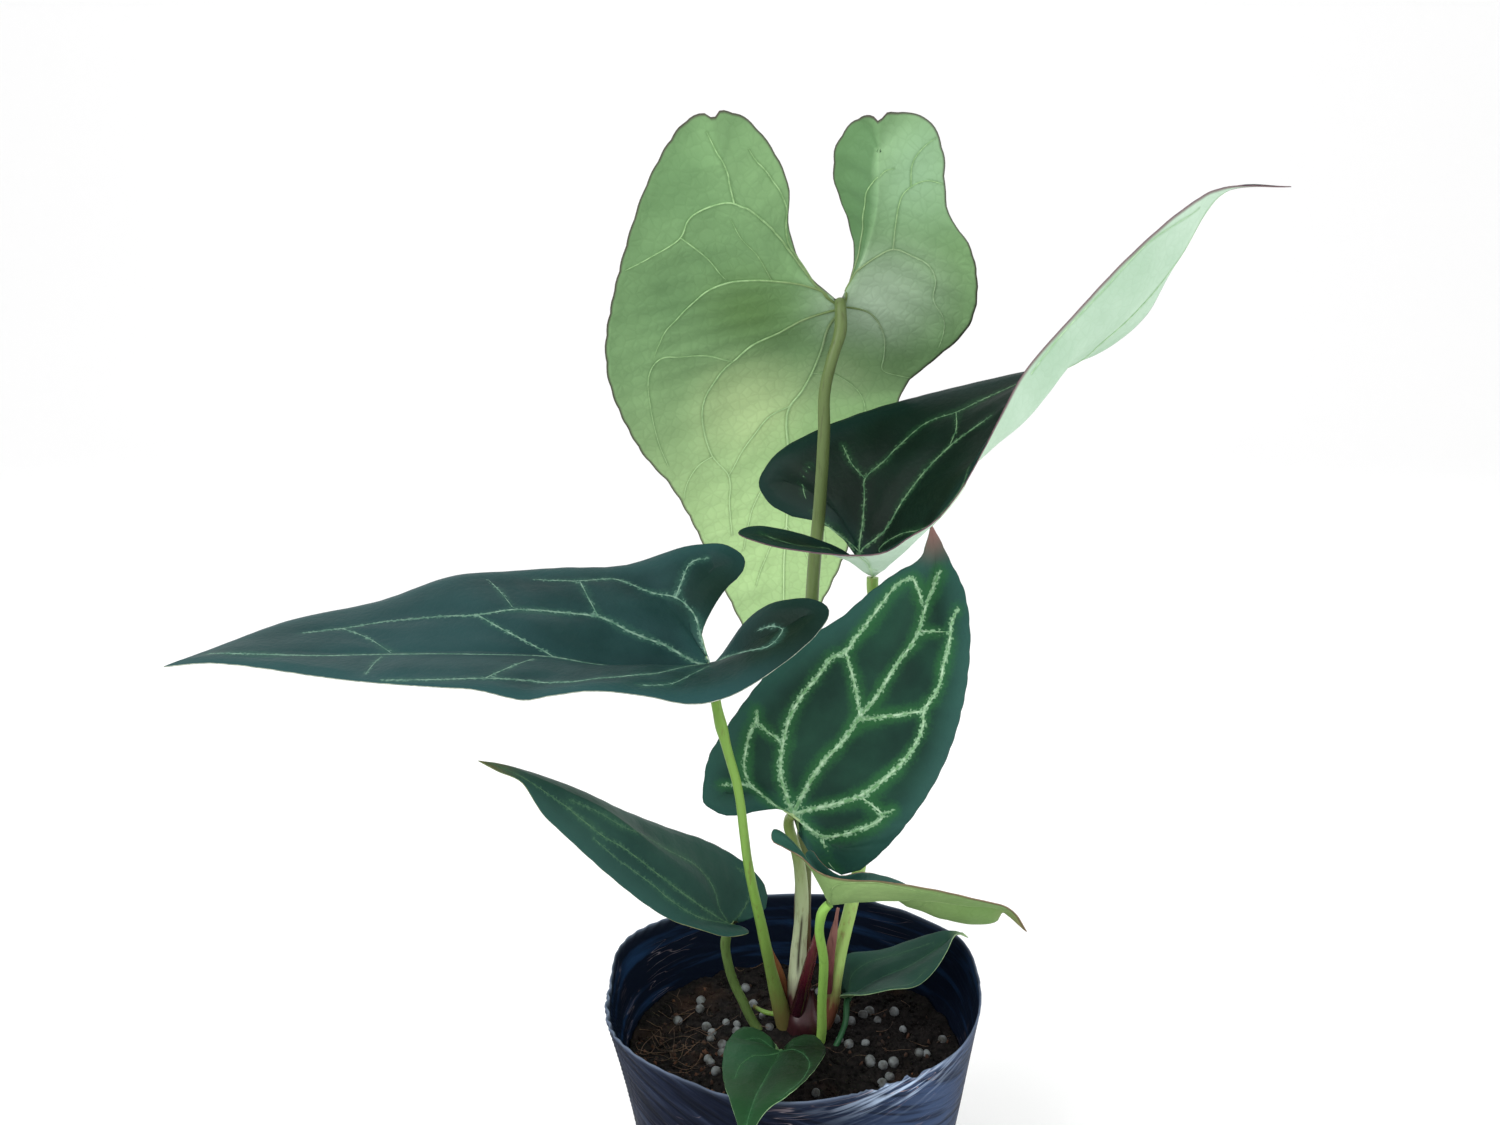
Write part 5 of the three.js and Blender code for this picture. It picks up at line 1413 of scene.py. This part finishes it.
skins = [
    upper_skin("folded_upper", (34, 68, 58), (46, 84, 72), (60, 104, 80), (80, 120, 92), (50, 92, 82),
               halo_width=1.4, halo_strength=0.3, core_width=0.3, core_strength=0.3),
    under_skin("folded_under", (112, 144, 86), (134, 162, 104), (86, 114, 66), rim=(92, 86, 60),
               net_strength=0.06, patches=(
        ((74, -26, 144), 14, (158, 112, 96), 0.8),
        ((60, -24, 148), 24, (108, 144, 78), 0.7),
    )),
    plain_skin("folded_rim", (112, 88, 72), (138, 114, 92)),
    plain_skin("folded_upper_rib", (80, 122, 86), (116, 152, 110)),
    plain_skin("folded_under_rib", (126, 156, 98), (148, 176, 118)),
]
blade("leaf_folded", leaf_folded, skins, row_step=1.5, across=30)
stalk = stalk_skin("folded_stalk", (120, 156, 76), (152, 194, 94), (140, 186, 88), (112, 152, 70),
                   foot_end=0.06, middle_end=0.3)
petiole("leaf_folded", leaf_folded, stalk)

# The small leaf inside the pot
# A small leaf that leans against the rim at the right, with a curled light tip. Its thin petiole
# leaves the stem inside the mix and comes up at its front right.
leaf_inner = {
    "petiole": [(6, 5, 69), (13, -2, 83), (18, 4, 91), (19, 10, 96)],
    "radii": (1.1, 1, 1),
    "midrib": [(20, 12, 96), (29, 13, 102), (40, 15, 106), (56, 19, 114), (61, 21, 117), (64, 21, 115)],
    "right": [(18, 10, 97), (16, 6, 100), (17, 1, 104), (24, -2, 106), (33, -2, 108), (43, 2, 107),
        (50, 6, 111), (55, 12, 115), (59, 18, 118)],
    "left": [(18, 17, 95), (16, 21, 99), (17, 25, 103), (21, 27, 105), (33, 28, 106), (45, 27, 111),
        (55, 24, 116), (60, 22, 117)],
    "lobes": {"right": [(19, 9, 99), (18, 6, 101)],
              "left": [(18, 18, 98), (18, 22, 100)]},
    "cup": {"right": [0.04, 0.05, 0.04, 0.02], "left": [0.04, 0.05, 0.04, 0.02]},
    "veins": [
        (0.7, 0.4, [(20, 12, 96), (26, 11, 101), (35, 14, 104), (43, 15, 108), (55, 19, 114)]),
        (0.4, 0.3, [(20, 12, 96), (26, -1, 106), (37, 1, 107), (47, 8, 110)]),
        (0.4, 0.3, [(20, 12, 96), (21, 18, 101), (28, 22, 104), (41, 22, 108), (51, 21, 113)]),
    ],
    "slot": "leaf_green", "swelling": 5, "rib": 0.6,
}
skins = [
    upper_skin("inner_upper", (24, 52, 46), (36, 66, 56), (46, 80, 62), (60, 96, 72), (42, 76, 66),
               halo_width=1.4, halo_strength=0.35, core_width=0.25, core_strength=0.2, patches=(
        ((64, 21, 115), 8, (150, 176, 120), 0.8),
    )),
    under_skin("inner_under", (110, 144, 100), (136, 168, 118), (90, 120, 76)),
    plain_skin("inner_rim", (120, 150, 110), (150, 176, 132)),
    plain_skin("inner_upper_rib", (48, 84, 64), (66, 102, 78)),
    plain_skin("inner_under_rib", (140, 170, 120), (164, 188, 142)),
]
blade("leaf_inner", leaf_inner, skins, row_step=1.2, across=24)
stalk = stalk_skin("inner_stalk", (34, 66, 44), (38, 80, 54), (44, 90, 58), (30, 60, 40), foot_end=0.1,
                   middle_end=0.4)
petiole("leaf_inner", leaf_inner, stalk)

# The small leaf over the front rim
# A small leaf that lies over the front of the rim, with painted shadow on its right half and its left half
# lighter. Its short petiole leaves the stem inside the mix and leans out to the front.
leaf_front = {
    "petiole": [(0, 4, 73), (1, -2, 81), (-2, -10, 87), (-5, -18, 91)],
    "radii": (1.3, 1.2, 1.2),
    "midrib": [(-6, -22, 97), (-9, -36, 101), (-12, -52, 107), (-15, -67, 112), (-17, -77, 111),
        (-18, -85, 104)],
    "right": [(-8, -18, 98), (-11, -14, 99), (-18, -15, 102), (-23, -23, 103), (-25, -41, 107),
        (-24, -59, 111), (-22, -70, 113), (-20, -77, 111)],
    "left": [(-4, -18, 97), (0, -15, 98), (5, -15, 99), (9, -24, 100), (6, -40, 105), (1, -54, 109),
        (-5, -67, 113), (-12, -75, 113), (-16, -81, 109)],
    "lobes": {"right": [(-11, -20, 98), (-16, -21, 100)],
              "left": [(-2, -21, 98), (3, -23, 99)]},
    "cup": {"right": [0.05, 0.06, 0.05, 0.03], "left": [0.05, 0.06, 0.05, 0.03]},
    "veins": [
        (0.6, 0.4, [(-6, -23, 97), (-9, -36, 101), (-12, -54, 108), (-15, -70, 112), (-17, -77, 111),
            (-18, -83, 106)]),
        (0.7, 0.3, [(-6, -23, 97), (-11, -30, 101), (-15, -34, 104), (-19, -43, 107), (-21, -55, 110)]),
        (0.5, 0.3, [(-6, -23, 97), (-2, -24, 99), (1, -30, 102), (3, -41, 105), (-1, -57, 110),
            (-7, -69, 113)]),
        (0.3, 0.2, [(-6, -23, 97), (-13, -18, 99), (-18, -22, 102)]),
    ],
    "slot": "leaf_green", "swelling": 5, "rib": 0.7,
}
skins = [
    upper_skin("front_upper", (20, 48, 27), (27, 60, 35), (36, 80, 46), (58, 106, 68), (34, 70, 40),
               halo_width=1.3, halo_strength=0.4, core_width=0.3, core_strength=0.2, patches=(
        # A lighter left half, and painted shadow over the right half
        ((-20, -36, 104), 24, (44, 88, 62), 0.6),
        ((6, -27, 101), 20, (12, 30, 13), 0.95),
        ((4, -48, 108), 24, (13, 36, 16), 0.85),
    )),
    under_skin("front_under", (110, 146, 96), (136, 170, 114), (90, 122, 74)),
    plain_skin("front_rim", (100, 138, 94), (140, 172, 124)),
    plain_skin("front_upper_rib", (44, 86, 56), (66, 110, 72)),
    plain_skin("front_under_rib", (140, 170, 118), (164, 190, 140)),
]
blade("leaf_front", leaf_front, skins, row_step=1.2, across=28)
stalk = stalk_skin("front_stalk", (46, 80, 44), (54, 94, 52), (60, 104, 58), (42, 72, 40), foot_end=0.1,
                   middle_end=0.4)
petiole("leaf_front", leaf_front, stalk)
